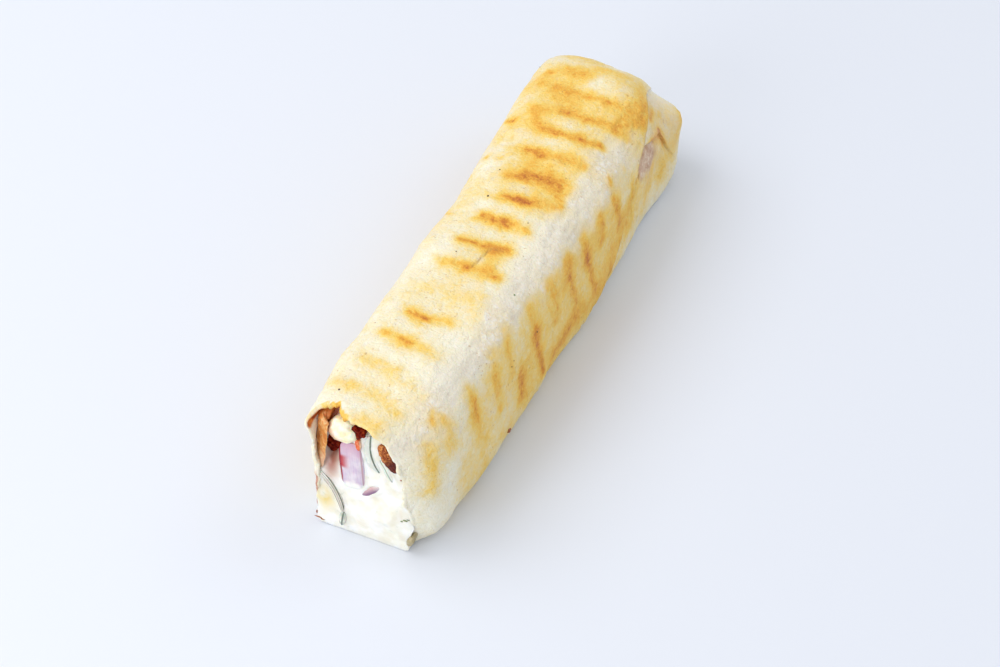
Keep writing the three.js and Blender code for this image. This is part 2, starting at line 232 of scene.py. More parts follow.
# %% The roll's section along its length
# Millimetres over which the lean and the tuck of the mouth die away, and the angle of the ear's tip
LEAN_FADE = 11
TUCK_FADE = 23
EAR_ANGLE = 129.6


def reach(y):
    """Left and right wall at a distance from the mouth: each leaves the mouth's width exponentially."""
    behind = np.maximum(y, 0)
    left = MOUTH_LEFT - LEFT_BULGE * (1 - np.exp(-behind / LEFT_FLARE)) - LEFT_WIDENING * behind / 200
    body = BODY_RIGHT + 2 * bump(y, 128, 50)
    return left, lerp(body, MOUTH_RIGHT, np.exp(-behind / RIGHT_FLARE))


def closing(y):
    """What is left across and upwards: (1 − t^n)^(1/n), with t from 0 to 1 over the fold."""
    t = np.clip((y - FOLD_START) / (ROLL_LENGTH - FOLD_START), 0, 1)
    return (1 - t**4.2) ** (1 / 4.2), (1 - t**2.1) ** (1 / 2.1)


def squareness(side, y):
    """The exponent of each quarter of the section: 2 is an ellipse, and more is squarer."""
    top_right = lerp(2.45, 2.9, smooth(y, 0, 35))
    return np.select([side >= 90, side >= 0, side >= -90], [4.6, top_right, 6.0], 7.0)


def shift_at_mouth(side, y, depth):
    """Millimetres to the left: the right wall leans in, the ear stands out, the lower right is tucked."""
    c, s = np.cos(np.radians(side)), np.sin(np.radians(side))
    lean = 2.7 * smooth(c, 0, 0.4) * smooth(s, -0.7, 0.25) + 1.5 * smooth(c, 0.3, 0.85) * smooth(s, -0.9, 0)
    ear = 4.0 * bump(side, EAR_ANGLE, 7.6) * np.clip(1 - depth / 4.2, 0, 1)
    tuck = 4.2 * bump(side, -49, 17) + 0.9 * bump(side, -10, 15)
    behind = np.maximum(y, 0)
    return (lean + ear) * np.exp(-behind / LEAN_FADE) + tuck * np.exp(-behind / TUCK_FADE)


print("walls at the mouth and at 100 mm:", [np.round(reach(y), 1).tolist() for y in (0, 100)])

# %% [markdown]
# On top of the plain section the roll swells where filling pushes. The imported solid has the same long
# waves. The settling is new here: a soft roll sags and gets pinched along its edges, and these gentle
# rises and dips were read from the outline of the real wrap.

# %% The roll as a function of angle and distance
# Distance and angle of each rise or dip, its length in mm, its spread in degrees, its height in mm
SETTLED = [
    (7, -34, 8, 16, 2.3), (50, -32, 26, 16, 1.4), (136, -26, 22, 18, 1.9), (182, -18, 11, 18, -2.7),
    (204, 18, 9, 20, 2.4), (29, 138, 10, 16, 1.9), (126, 140, 20, 16, -1.4),
]


def settling(side, y):
    """A sum of bells: how far the soft roll has sagged outwards or been pinched in along its edges."""
    total = 0
    for distance, angle, length, spread, height in SETTLED:
        total = total + height * bump(y, distance, length) * bump(side, angle, spread)
    return total


def swelling(angle, y):
    """Millimetres outwards: waves of filling, the folded packet and its pleats, less a rounded corner."""
    a = np.radians(angle)
    side = wrapped(angle)
    waves = 0.4 * np.sin(y / 11 + 2 * a) * np.sin(a + 1.1)
    waves += 0.3 * np.sin(y / 6.3 - 3 * a + 0.7) + 0.25 * np.sin(y / 23 + 5 * a)
    packet = 4 * bump(side, -27, 34) * bump(y, 190, 22)
    pleats = 0.7 * np.sin(7 * a + 0.6) * smooth(y, 192, 207)
    corner = 6 * bump(side, 46, 24) * smooth(y, 180, 203)
    return waves + packet + pleats - corner + settling(side, y)


def roll_point(angle, y, depth=0.0):
    """Centre plus radius times (cos, sin), with the radius from |x/w|^n + |z/h|^n = 1, less depth."""
    left, right = reach(y)
    across, up = closing(y)
    side = wrapped(angle)
    n = squareness(side, y)
    c, s = np.cos(np.radians(angle)), np.sin(np.radians(angle))
    half_width, half_height = (right - left) / 2, ROLL_HEIGHT / 2
    radius = (np.abs(c / half_width) ** n + np.abs(s / half_height) ** n) ** (-1 / n)
    kept = radius + swelling(angle, y) - depth
    x = (left + right) / 2 + kept * c * across - shift_at_mouth(side, y, depth)
    z = np.maximum(half_height + kept * s, PRESSED_FLAT + np.maximum(depth, 0)) - PRESSED_FLAT
    return np.stack(np.broadcast_arrays(x, y, FOLD_CENTRE + (z - FOLD_CENTRE) * up), -1)


ring = roll_point(np.linspace(-180, 180, 361), np.full(361, 100.0))
print("section at 100 mm, low and high:", ring.min(0).round(1), ring.max(0).round(1))

# %% [markdown]
# The bread's mouth is torn, so its edge doesn't lie in one plane: it is bitten back at the top left, at
# the bottom right and along the underside, where sauce runs over it. The sheet's free edge runs up the
# right side and over the folded end, and below it a folded corner shows a second edge, the hem.

# %% Edges of the bread
# The free edge starts low down at LAP_LOW, and the sheet under it at LAP_FLOOR, which is on the floor
LAP_LOW = -50
LAP_FLOOR = -62
# Each path is a list of distances and a list of angles
LAP_PATH = ([112, 124, 132, 140, 146, 152, 156, 164, 170, 177, 184, 194, 213],
            [-50, -34, -26, -18, -8, 7, 18, 26, 30, 36, 43, 49, 53])
HEM_PATH = ([152, 157, 160, 163, 166, 172, 176, 181, 186, 188, 191, 200, 211],
            [-10, 8, 19, 24, 27, 28, 25, 21, 19, 7, -6, -35, -50])
HEM_BELOW_LAP = 2.8
LAP_DEPTH = 0.9


def mouth_edge(angle):
    """Distance behind the mouth's plane where the edge lies: bells and steps at the torn places."""
    side = wrapped(angle)
    under = plateau(-side, 45, 55, 122, 136)
    torn = 4.6 * bump(side, 119, 6.5) + 3 * plateau(side, 76, 104, 125, 133) + 4.3 * under
    waves = 0.3 * np.sin(np.radians(7 * side)) + 0.25 * np.sin(np.radians(17 * side + 40))
    return torn + (1 - under) * waves


def lap_angle(y):
    """Angle of the sheet's free edge: a drawn climb from the lower right to the top right."""
    return np.interp(y, *LAP_PATH)


def hem_angle(y):
    """Angle of the folded corner's hem: up to a peak and down again, always under the free edge."""
    return np.minimum(np.interp(y, *HEM_PATH), lap_angle(y) - HEM_BELOW_LAP)


def under_depth(angle, y):
    """How far the sheet below the free edge lies under the outer one, with a pit below the hem."""
    side = wrapped(angle)
    shown = smooth(y, 111, 131) * smooth(side, LAP_FLOOR, LAP_FLOOR + 24)
    below_hem = hem_angle(y) - side
    pit = 1.1 * smooth(below_hem, -0.9, 0.9) * np.exp(-np.maximum(below_hem, 0) / 16)
    return (LAP_DEPTH + pit * plateau(y, 160.4, 162.4, 188.5, 195)) * shown


def wall_depth(angle, y):
    """Depth of the wall's inner face: one sheet, plus the inner turn, plus the lap under the free edge."""
    turn = 2.4 * bump(angle % 360, 152, 26)
    return BREAD + turn + 2.6 * smooth(y, 111, 131) * bump(wrapped(angle), -5, 70)


print("free edge at 130, 160 and 190 mm:", [round(float(lap_angle(y))) for y in (130, 160, 190)], "degrees")

# %% [markdown]
# Toasting marks are strokes on the skin, left by the bars of the grill. A stroke runs from one distance and
# angle to another. The top and the right side follow the real wrap mark by mark, because they are what it
# is recognised by.

# %% Toasting marks on the top and the right side
# From distance and angle, to distance and angle, half width in mm, strength
TOP_MARKS = [
    (3, 99, 3.2, 84, 2.2, 0.42), (15.5, 100, 11.5, 78, 2.6, 0.34), (16.1, 125, 15.8, 114, 1.9, 0.38),
    (28.4, 119, 27.2, 98, 2, 0.36), (41.1, 118, 39.4, 101, 1.7, 0.66),
    (39.6, 99, 38.3, 80, 2.2, 0.38), (52.6, 113, 51.7, 102, 1.6, 0.7),
    (51.9, 101, 53.3, 84, 1.5, 0.55), (65.5, 112, 64.5, 76, 4.5, 0.24),
    (77.6, 112, 78.6, 96, 1.5, 0.68), (78.6, 96, 79.6, 84, 1.4, 0.5), (79.2, 75, 78.8, 71, 1.8, 0.75),
    (89.7, 111, 91.1, 90, 1.4, 0.96), (91, 81, 91.4, 76, 1.8, 0.85), (87.5, 84, 80, 80, 2, 0.38),
    (103, 107, 103.4, 89, 1.6, 0.96), (103.4, 88, 102.8, 71, 1.4, 0.58),
    (113.5, 114, 112.6, 104, 2, 0.3), (115.4, 104, 114.9, 94, 1.5, 0.78),
    (115, 94, 114.8, 84, 1.4, 1), (114.8, 83, 115.6, 74, 1.6, 0.52),
    (125.6, 108, 127.2, 97, 1.7, 0.72), (127.2, 97, 128.4, 80, 1.6, 0.98),
    (128.4, 79, 128.6, 70, 2.3, 0.64), (127, 69, 119.6, 62, 2.2, 0.52),
    (133.5, 97, 133, 82, 3.2, 0.5), (140.2, 111, 140, 99, 1.7, 0.84), (140, 97, 141.8, 78, 1.8, 0.6),
    (141.5, 76, 140.6, 63, 2.3, 0.48), (152.4, 108, 152, 97, 1.6, 0.72),
    (152.2, 91, 152, 78, 1.6, 0.66), (152.6, 73, 154, 59, 1.8, 0.72),
    (162.5, 121, 154.5, 113, 1.4, 0.48), (162, 114, 164.6, 97, 1.6, 0.5),
    (164.2, 96, 163.8, 80, 1.6, 0.5), (163.8, 78, 165.4, 60, 1.8, 0.54),
    (165.4, 58, 176.4, 44, 2.3, 0.42), (178, 127, 176.2, 112, 3, 0.48),
    (175.8, 104, 175.4, 88, 1.6, 0.42), (175.4, 87, 175, 71, 1.5, 0.54), (175, 69, 176, 56, 2, 0.46),
    (186.6, 114, 186.2, 99, 1.6, 0.5), (191.6, 96, 192.6, 68, 2.4, 0.28),
    (183.4, 55, 178.6, 44, 3, 0.28), (186.8, 122, 186.4, 118, 1.8, 0.4), (170, 112, 169, 92, 3, 0.24),
    (196, 55, 184, 48, 2.6, 0.22), (184, 48, 175, 40, 2.6, 0.28), (197, 60, 193, 84, 2.4, 0.14),
    (177, 110, 176, 70, 5, 0.08), (188, 116, 188, 60, 5, 0.1), (127, 98, 126, 66, 6, 0.12),
    (155, 124, 153, 106, 3.6, 0.24), (23, 90, 21, 68, 2.8, 0.18), (119, 79, 116.8, 67, 2.4, 0.36),
    (167, 53, 165, 44, 2.8, 0.3), (183.1, 128, 183, 126, 0.9, 0.8), (154.9, 134, 154.4, 130, 1, 0.88),
    (134.4, 136, 134, 134, 0.8, 0.5), (133, 125, 132.8, 122, 0.8, 0.35),
    (102.6, 133, 102.2, 131, 0.8, 0.45),
]
SIDE_MARKS = [
    (17.8, 56, 14.6, 51, 1.8, 0.4), (19.1, 47, 15.8, 30, 2.4, 0.44), (7.7, 44, 5.4, 4, 2.5, 0.42),
    (33.4, 34, 32, 24, 2, 0.6), (32, 23, 32.4, 4, 2.4, 0.38), (34.6, 45, 34.2, 37, 2.2, 0.32),
    (20.6, -3, 20, -20, 2.9, 0.23), (51.2, 45, 46.2, 28, 2.2, 0.44), (46.2, 27, 46.6, 2, 2.6, 0.46),
    (62.8, 46, 58.4, 38, 2.2, 0.34), (58, 36, 57, 16, 2.4, 0.34), (63.2, 2, 63, -22, 2.4, 0.8),
    (46, -24, 52, -31, 2.3, 0.35), (76.2, 38, 74.6, 20, 2.1, 0.58), (74.6, 19, 77.3, -22, 1.7, 0.88),
    (90, 36, 88.6, 8, 2.5, 0.54), (103.8, 34, 101.8, 26, 2.8, 0.52), (101.8, 25, 105, -8, 2.6, 0.54),
    (104.1, -19, 87.4, -25, 3.1, 0.62), (116.5, 34, 115.5, 18, 1.8, 0.66),
    (115.5, 17, 119.4, -20, 1.7, 0.76), (128, 33, 125.9, 18, 1.9, 0.62),
    (139.4, 30, 142.6, 4, 2, 0.62), (144.4, -14, 143, -26, 1.3, 0.5), (143.7, 43, 142, 41, 1, 0.5),
    (155.3, 21, 152.4, 11, 1.2, 0.5), (183.4, 38, 178.6, 33, 1.5, 0.55), (70, 30, 66, -20, 4.5, 0.18),
    (84, 30, 82, -25, 4.5, 0.2), (96, 31, 95, -25, 4.5, 0.22), (110, 28, 110, -24, 4.5, 0.22),
    (122, 26, 124, -22, 4.5, 0.2), (134, 26, 134, -18, 4, 0.2), (38, 24, 40, -26, 4, 0.16),
    (54, 26, 54, -22, 4, 0.16), (24, 18, 26, -26, 4, 0.14), (172, -8, 150, -22, 7, 0.22),
    # The last three strokes darken the right side low down, where it turns from the light: toasting and
    # painted shade
    (150, 4, 134, -20, 5, 0.24), (35, -8, 33, -32, 3.2, 0.3), (70, 2, 71, -32, 3.8, 0.28),
    (108, -27, 160, -30, 4.6, 0.3),
]
print(len(TOP_MARKS), "marks on the top,", len(SIDE_MARKS), "on the right side")

# %% [markdown]
# The hidden left side and underside are filled in by rule, because the same grill made them: one bar per
# pitch, broken in two, its ends and strength drawn from a seeded generator, with a wide pale stroke under
# it. The underside carries the strongest bars, because the wrap was pressed on that side first.

# %% Toasting marks on the hidden sides
BAR_PITCH = 12.4
FIRST_BAR = 15.5
LAST_BAR = 196
HALO_WIDTH = 5.0


def hidden_marks(first_angle, last_angle, strength, slant, seed):
    """One broken bar per pitch between two angles: its pieces' ends, width and strength vary a little."""
    draw = np.random.default_rng(seed)
    marks = []
    for y in np.arange(FIRST_BAR, LAST_BAR, BAR_PITCH):
        start = first_angle + draw.uniform(-4, 6)
        stop = last_angle + draw.uniform(-8, 5)
        split = lerp(start, stop, draw.uniform(0.35, 0.65))
        for low, high in ((start, split - 2), (split + 3, stop)):
            lean = slant * (high - low)
            power = strength * draw.uniform(0.6, 1.25)
            marks.append((y + draw.uniform(-0.8, 0.8), low, y + lean, high, draw.uniform(1.2, 2.2), power))
            marks.append((y, low, y + lean, high, HALO_WIDTH, 0.4 * power))
    return marks


# Short marks on the folded end
END_MARKS = [
    (199, 150, 205, 190, 2.5, 0.5), (202, 95, 205, 70, 4, 0.16), (203, 215, 206, 260, 2.5, 0.45),
    (197, 122, 199, 102, 2.2, 0.28),
]
left_marks = hidden_marks(152, 214, 0.56, -0.12, seed=3)
under_marks = hidden_marks(238, 304, 0.74, 0.02, seed=5)
all_marks = TOP_MARKS + SIDE_MARKS + left_marks + under_marks + END_MARKS
print(len(all_marks), "marks in all")

# %% [markdown]
# The sheet under the free edge lay a little lower, so it is toasted in its own way: scorched spots where
# the hem stands up, thin brown lines along it, and wide faint clouds.

# %% Toasting marks on the folded packet
PACKET_MARKS = [
    (185.6, 22, 188.4, 4, 0.7, 0.95), (185.6, 21, 178.5, 23, 0.5, 0.55),
    # The wide stroke from 172 mm at -6 degrees to 190 mm at -14 darkens the lower packet: painted shade
    (178.5, 24, 166, 26, 0.6, 0.6), (172, -6, 190, -14, 9, 0.2), (160, 8, 152, -14, 6, 0.24),
    (181, 20, 184, 16, 1.2, 0.42), (186, 38, 183.6, 36, 1.3, 0.7), (189, 37, 188, 36, 0.9, 0.6),
    (191.4, 29, 190.8, 28, 0.9, 0.5), (162.8, 20, 161.2, 21, 0.9, 1), (161.6, 19, 165, 15, 0.6, 0.7),
    (176, 25, 181, 21, 0.7, 0.6), (196, -4, 203, 14, 1.4, 0.4), (189, -8, 184, -20, 2.6, 0.36),
    (150, -14, 141, -30, 2.4, 0.3), (152, 8, 149.4, -8, 0.9, 0.5), (158, 16, 154, 6, 2, 0.34),
    (176, 2, 168, -20, 3, 0.24), (135, -32, 127, -44, 1.6, 0.36), (205, 16, 204, -2, 1.6, 0.34),
    (194, 24, 186, 28, 4.5, 0.14),
]
print(len(PACKET_MARKS), "marks on the packet")

# %% [markdown]
# A stroke is laid on the roll as a short chain of straight pieces. A point is browned by how near the
# chain it lies, with a sharp core and a wide yellow halo. The points are shaken by noise first, which
# makes the borders ragged, and strokes that overlap brown each other without ever passing 1.

# %% How toasted a point is
def stroke(ends, pieces):
    """The chain of a stroke: even steps in distance and angle from one end to the other."""
    y_from, angle_from, y_to, angle_to = ends
    share = np.linspace(0, 1, pieces + 1)
    return roll_point(lerp(angle_from, angle_to, share), lerp(y_from, y_to, share))


def beside_stroke(points, ends, margin):
    """Which points lie within a margin of the stretch of roll that the stroke crosses."""
    return np.abs(points[..., 1] - (ends[0] + ends[2]) / 2) < abs(ends[2] - ends[0]) / 2 + margin


def distance_to_path(points, path):
    """Least distance to a chain of segments: each point's foot on a segment is clamped to its ends."""
    least = np.full(points.shape[:-1], np.inf)
    for start, end in zip(path[:-1], path[1:]):
        run = end - start
        share = np.clip(((points - start) @ run) / (run @ run), 0, 1)
        least = np.minimum(least, np.linalg.norm(points - start - share[..., None] * run, axis=-1))
    return least


def clouded(points):
    """The faint toasting of everything, in soft clouds: more beyond 30 mm, and again beyond 95 mm."""
    y = points[..., 1]
    clouds = np.clip(0.5 + 0.9 * rough(points * [1, 0.6, 1], 11.0, 43), 0, 1)
    return 0.02 + (0.11 * smooth(y, 30, 80) + 0.09 * smooth(y, 95, 150)) * clouds


def toasting(points, marks, ground=1.0):
    """0 for pale bread, 1 for burnt: clouds and strokes join as 1 − (1 − a)(1 − b)."""
    bent = points + 0.7 * np.stack([rough(points, 4.0, seed) for seed in (11, 21, 31)], -1)
    uneven = 0.86 + 0.34 * noise(points, 3.4, 41) + 0.42 * noise(points, 1.2, 42)
    left_pale = 1 - ground * clouded(points)
    for *ends, width, strength in marks:
        near = beside_stroke(bent, ends, 5 * width)
        away = distance_to_path(bent[near], stroke(ends, 6)) / width
        core = 0.52 * np.exp(-(away**1.7)) * uneven[near]
        halo = 0.38 * np.exp(-((away / 2.3) ** 2))
        left_pale[near] *= 1 - strength * np.clip(core + halo, 0, 1)
    return 1 - left_pale


print("first stroke, from and to:", stroke(TOP_MARKS[0][:4], 1).round(1).tolist())

# %% [markdown]
# Dry flour clings where the griddle never touched: along the rounded top right shoulder, in a band that
# widens towards the middle. It is a number between 0 and 1 too, from the angle and the distance, so the
# material can turn the bread whiter and duller there.

# %% Floury places
# The band's lower and upper border, as distances and angles
FLOUR_LOW = ([0, 40, 76, 94, 110, 132, 144, 158, 172, 176], [45, 44, 42, 33, 27, 31, 36, 34, 40, 44])
FLOUR_HIGH = ([0, 20, 60, 80, 110, 130, 150, 165, 175], [62, 64, 63, 61, 64, 57, 54, 49, 44])


def floury(angle, y, points):
    """Between two drawn lines on the shoulder, broken up by noise, and faint on the left shoulder."""
    side = wrapped(angle)
    ragged = side + 6 * rough(points, 8.0, 51) + 3.5 * rough(points, 2.2, 53)
    low, high = np.interp(y, *FLOUR_LOW), np.interp(y, *FLOUR_HIGH)
    band = plateau(ragged, low - 9, low + 8, high - 8, high + 10)
    band *= (0.82 + 0.3 * noise(points, 5.0, 54)) * (1 - smooth(y, 168, 178))
    left_shoulder = bump(side, 142, 10) * smooth(noise(points, 9.0, 55), -0.2, 0.6)
    return np.clip(band + 0.5 * left_shoulder, 0, 1)


print("the flour reaches down to", min(FLOUR_LOW[1]), "degrees and up to", max(FLOUR_HIGH[1]))

# %% [markdown]
# Relief comes in three sizes: blisters of a few millimetres, fine wrinkles that run along the roll where
# the sheet was bent hardest, and sharp creases drawn as strokes. The finest grain is left to the
# material's bump.

# %% Relief of the bread
# From distance and angle, to distance and angle, half width and depth in mm. The first few hold shade.
DARK_CREASES = [
    (90.4, 88, 80, 92, 0.55, 0.34), (91, 87, 91.2, 78, 0.5, 0.26), (161.5, 22, 163, 14, 0.8, 0.6),
    (131.6, -25, 127.6, -31, 0.7, 0.45),
]
PALE_CREASES = [
    (174, 48, 168, 41, 0.7, 0.3), (80.5, -12, 84.5, -42, 1.3, 0.6), (107.5, -14, 111.5, -44, 1.4, 0.7),
    (121.5, -22, 119, -44, 1.1, 0.5), (198, 70, 206, 96, 0.9, 0.4), (197, 150, 206, 120, 0.9, 0.4),
    (196, 8, 207, -10, 1, 0.5), (194, -30, 205, -24, 1, 0.45), (197, 200, 207, 215, 0.9, 0.45),
]


def creased(points, creases, narrow=1.0):
    """Sum over the creases of depth times a bell of the distance to its line."""
    depth = np.zeros(points.shape[:-1])
    for *ends, width, deep in creases:
        near = beside_stroke(points, ends, 4)
        away = distance_to_path(points[near], stroke(ends, 4)) / width / narrow
        depth[near] += deep * np.exp(-(away**2))
    return depth


def end_flap(points):
    """The last fold of the end: a step of 0.7 mm above a parabola on the end's face."""
    x, y, z = np.moveaxis(points, -1, 0)
    return 0.7 * smooth(z - 20 - 0.015 * (x - 17) ** 2, -0.5, 0.5) * smooth(y, 203, 208)


def bread_relief(angle, points):
    """Millimetres outwards: blisters where noise is high, stretched noise for wrinkles, less creases."""
    side = wrapped(angle)
    blisters = 0.34 * smooth(noise(points, 5.5, 61), 0.15, 0.75)
    blisters += 0.22 * smooth(noise(points, 2.6, 62), 0.15, 0.8)
    blisters *= 1 - 0.5 * bump(side, 54, 16)
    stretched = points * [1, 0.18, 1]
    bent_hard = 0.45 + 0.75 * bump(side, 30, 34) + 0.4 * bump(side, 150, 25)
    wrinkles = 0.19 * (1 - 2 * np.abs(noise(stretched, 1.7, 63))) + 0.14 * noise(stretched, 3.4, 64)
    return blisters + bent_hard * wrinkles + end_flap(points) - creased(points, DARK_CREASES + PALE_CREASES)


print(len(DARK_CREASES) + len(PALE_CREASES), "creases")

# %% [markdown]
# Now the sheet itself. Columns run from the free edge over the top, left and underside, then back up the
# sheet underneath, with a few packed together where the free edge and the hem step down, so that both
# stay crisp. They also stand twice as close round the torn top, where the edge is most ragged.

# %% Columns of the bread
OVER_COLUMNS = 236
UNDER_COLUMNS = 50
STEP_COLUMNS = 6
HEM_START = 154
LAP_WALL = 1.4
TORN_SHARE = 0.485


def crowded(share):
    """Even steps, less a tanh that draws the columns together round the torn top."""
    return share - 0.022 * (np.tanh((share - TORN_SHARE) / 0.04) + 1 - 2 * share)


def under_angles(lap, hem):
    """Angles of the sheet underneath: even up to the hem, packed across it, even up to the free edge."""
    below = np.linspace(LAP_FLOOR, hem - 1, UNDER_COLUMNS // 2)[1:]
    step = np.linspace(hem - 1, hem + 1, STEP_COLUMNS)[1:]
    above = np.linspace(hem + 1, lap - LAP_WALL, UNDER_COLUMNS // 2)[1:]
    return np.concatenate([below, step, above])


def bread_columns(y):
    """Angles and depths of one row: over the roll, under the free edge, and up that edge's wall."""
    lap = lap_angle(y)
    hem = np.where(y > HEM_START, hem_angle(y), lerp(LAP_FLOOR, lap, 0.6))
    share = np.linspace(0, 1, OVER_COLUMNS)
    over = lerp(LAP_LOW, 360 + LAP_FLOOR, crowded(share)) + (lap - LAP_LOW) * (1 - share) ** 3
    under = under_angles(lap, hem)
    foot = under_depth(under, y)
    turn = np.linspace(0, np.pi / 2, STEP_COLUMNS)[1:-1]
    wall = lap - LAP_WALL * (1 - np.sin(turn)) - 0.4 * np.sin(2 * turn)
    angles = np.concatenate([over, under + 360, wall + 360])
    depths = np.concatenate([np.zeros(OVER_COLUMNS), foot, foot[-1] * (1 - np.sin(turn))])
    return angles, depths


print("columns of a row:", len(bread_columns(100.0)[0]))

# %% [markdown]
# Rows run along the roll. They stand close at the torn mouth, whose ragged edge evens out behind it, are
# even along the body, and get closer again where the end turns downwards.

# %% Rows of the bread
OUTER_ROWS = 268
NEAR_ROWS = 18
NEAR_LENGTH = 10
END_ROWS = 26
EVEN_OUT = 26


def edge_setback(angle):
    """The torn edge with its ragged detail: flakes at the top left, small nibbles elsewhere."""
    side = wrapped(angle)
    at = roll_point(angle, np.zeros_like(angle))
    flaky = 1.3 * plateau(side, 98, 106, 126, 134)
    return mouth_edge(angle) + 0.28 * rough(at, 2.4, 71) + flaky * rough(at, 1.5, 73)


def behind_edge(angle, y):
    """A row that starts at the torn edge and evens out behind it."""
    return y + edge_setback(angle) * np.maximum(0, 1 - y / EVEN_OUT)


near_y = NEAR_LENGTH * np.linspace(0, 1, NEAR_ROWS) ** 1.4
body_y = np.linspace(NEAR_LENGTH, FOLD_START, OUTER_ROWS - NEAR_ROWS - END_ROWS + 1)[1:]
end_share = np.sin(np.pi / 2 * np.arange(1, END_ROWS + 1) / (END_ROWS + 0.12))
row_y = np.concatenate([near_y, body_y, lerp(FOLD_START, ROLL_LENGTH, end_share)])
columns = [bread_columns(y) for y in row_y]
angles = np.stack([row_angles for row_angles, _ in columns])
depths = np.stack([row_depths for _, row_depths in columns])
outer_y = row_y[:, None] + 0 * angles
print("outer grid:", angles.shape, "rows by columns")

# %% [markdown]
# The rim is as thick as one sheet, and thinner at the ear where the outer sheet stands clear of the inner
# turn. Behind the rim the inside wall drops to the same depth as in the solid. Only its first few
# millimetres can be seen, past the sauce, where it is stained orange by fat and painted a darker orange
# as the shade of the pocket under the torn top.

# %% The bread's outside, rim and inside
RIM_ROWS = 5
RIM_BULGE = 0.42
INNER_ROWS = np.array([0.8, 1.8, 3.2, 5, 7.5, 10.5, 14, 20, 40, 80, 120, 160, 184, 195, 203, 206.7])


def rim_thickness(angle):
    """1.3 mm, more where the edge is torn and down the left wall, less at the ear's tip, and uneven."""
    at = roll_point(angle, np.zeros_like(angle))
    torn = 0.8 * bump(wrapped(angle), 114, 9) - 0.6 * bump(wrapped(angle), 131, 7)
    return (1.3 + torn + 0.6 * bump(angle % 360, 180, 26)) * (1 + 0.3 * noise(at, 1.3, 75))


def skin(angle, y, depth):
    """A point of the skin at y behind the torn edge, pushed out by its relief, less so on the floor."""
    at = behind_edge(angle, y)
    flat = roll_point(angle, at, depth)
    on_floor = smooth(-wrapped(angle), 60, 75) * (flat[..., 2] < 0.5)
    return roll_point(angle, at, depth - bread_relief(angle, flat) * (1 - 0.7 * on_floor))


outer = skin(angles, outer_y, depths)
mouth_angles = angles[0]
turns = np.linspace(np.pi, 0, RIM_ROWS + 2)[1:-1, None] + 0 * mouth_angles
thick = rim_thickness(mouth_angles)
rim_y = edge_setback(mouth_angles) - RIM_BULGE * thick * np.sin(turns)
rim = roll_point(mouth_angles + 0 * turns, rim_y, thick * (1 - np.cos(turns)) / 2)
inner_y = INNER_ROWS[:, None] + 0 * mouth_angles
inside_angle = mouth_angles + 0 * inner_y
inside_y = behind_edge(inside_angle, inner_y)
inside_depth = lerp(thick, wall_depth(inside_angle, inside_y), smooth(inner_y, 0, 14))
inside = roll_point(inside_angle, inside_y, inside_depth)
bread_rings = np.concatenate([inside[::-1], rim, outer])
print("bread rows:", len(inside), "inside,", len(rim), "rim,", len(outer), "outside")

# %% [markdown]
# Each point of the sheet now gets its numbers for the material. How toasted it is comes from two lists of
# strokes, one for the roll and one for the sheet under the free edge, and from a scorched line where the
# torn edge is thin.

# %% How toasted the bread is
def singed(side, y, points):
    """Scorching of the thin torn edge at the top left: a plateau in angle, gone within 2 mm."""
    thin = plateau(side, 96, 112, 128, 134) * (1 - 0.6 * smooth(side, 120, 127))
    return 0.36 * thin * bump(y, 0, 0.9) * (1 + 1.1 * noise(points, 1.6, 58))


side = wrapped(angles)
flat_outer = roll_point(angles, behind_edge(angles, outer_y))
toast = np.maximum(toasting(flat_outer, all_marks), singed(side, outer_y, flat_outer))
packet_toast = toasting(flat_outer[:, OVER_COLUMNS:], PACKET_MARKS, 0.5)
under_shown = smooth(row_y, 112, 128)[:, None]
toast[:, OVER_COLUMNS:] = lerp(toast[:, OVER_COLUMNS:], packet_toast, under_shown)
print("mean toasting:", round(float(toast.mean()), 2))

# %% [markdown]
# A pinkish damp patch lies below the free edge, where the sheet is one layer thick and the filling wets
# it. Red juice has soaked into the torn edge at the lower left. Thin lines of shade lie right under the
# free edge and the hem, as they do under any edge of dough.

# %% Damp, juice and shade
# The damp patch's lower border, as distances and angles
DAMP_LOW = ([160, 164, 172, 181], [12, 7, 2, 7])


def dampness(side, y, points):
    """The patch between its lower border and the hem, and a faint dampness up to the free edge."""
    low = np.interp(y, *DAMP_LOW) + 3 * rough(points, 3.0, 57)
    patch = 0.95 * smooth(side, low - 4, low + 7) * plateau(y, 161, 165, 177, 184)
    faint = 0.3 * smooth(side, -25, 15) * plateau(y, 158, 170, 196, 206)
    faint *= smooth(lap_angle(y) - side, -1, 2) * (0.7 + 0.6 * noise(points, 4.0, 56))
    return np.maximum(patch * (side < hem_angle(y) + 0.5), faint)


def juicy(angle, y, points):
    """Red juice in the first millimetre of the edge, from the left side round the lower left corner."""
    turned = angle % 360
    edge = plateau(turned, 178, 192, 238, 244) * (1 - smooth(y, 0.2, 1.1))
    return edge * (0.85 + 0.2 * smooth(turned, 216, 226) + 0.2 * noise(points, 2.0, 59))


def seam_shade(side, y, points):
    """Bells of the angle below the free edge and below the hem, uneven along both."""
    free_edge = 0.26 * bump(lap_angle(y) - side, 0.5, 1.3) * plateau(y, 112, 122, 190, 204)
    hem = 0.16 * bump(hem_angle(y) - side, 0.4, 1.2) * plateau(y, 154, 158, 186, 196)
    return (free_edge + hem) * (0.75 + 0.6 * noise(points, 3.2, 60))


juice = juicy(angles, outer_y, flat_outer)
# Painted shade: along the dark creases, and right under the free edge and the hem
shade = creased(flat_outer, DARK_CREASES, 0.75) + seam_shade(side, outer_y, flat_outer)
damp = dampness(side, outer_y, flat_outer)
print("damp points:", int((damp > 0.5).sum()), "and juicy ones:", int((juice > 0.5).sum()))
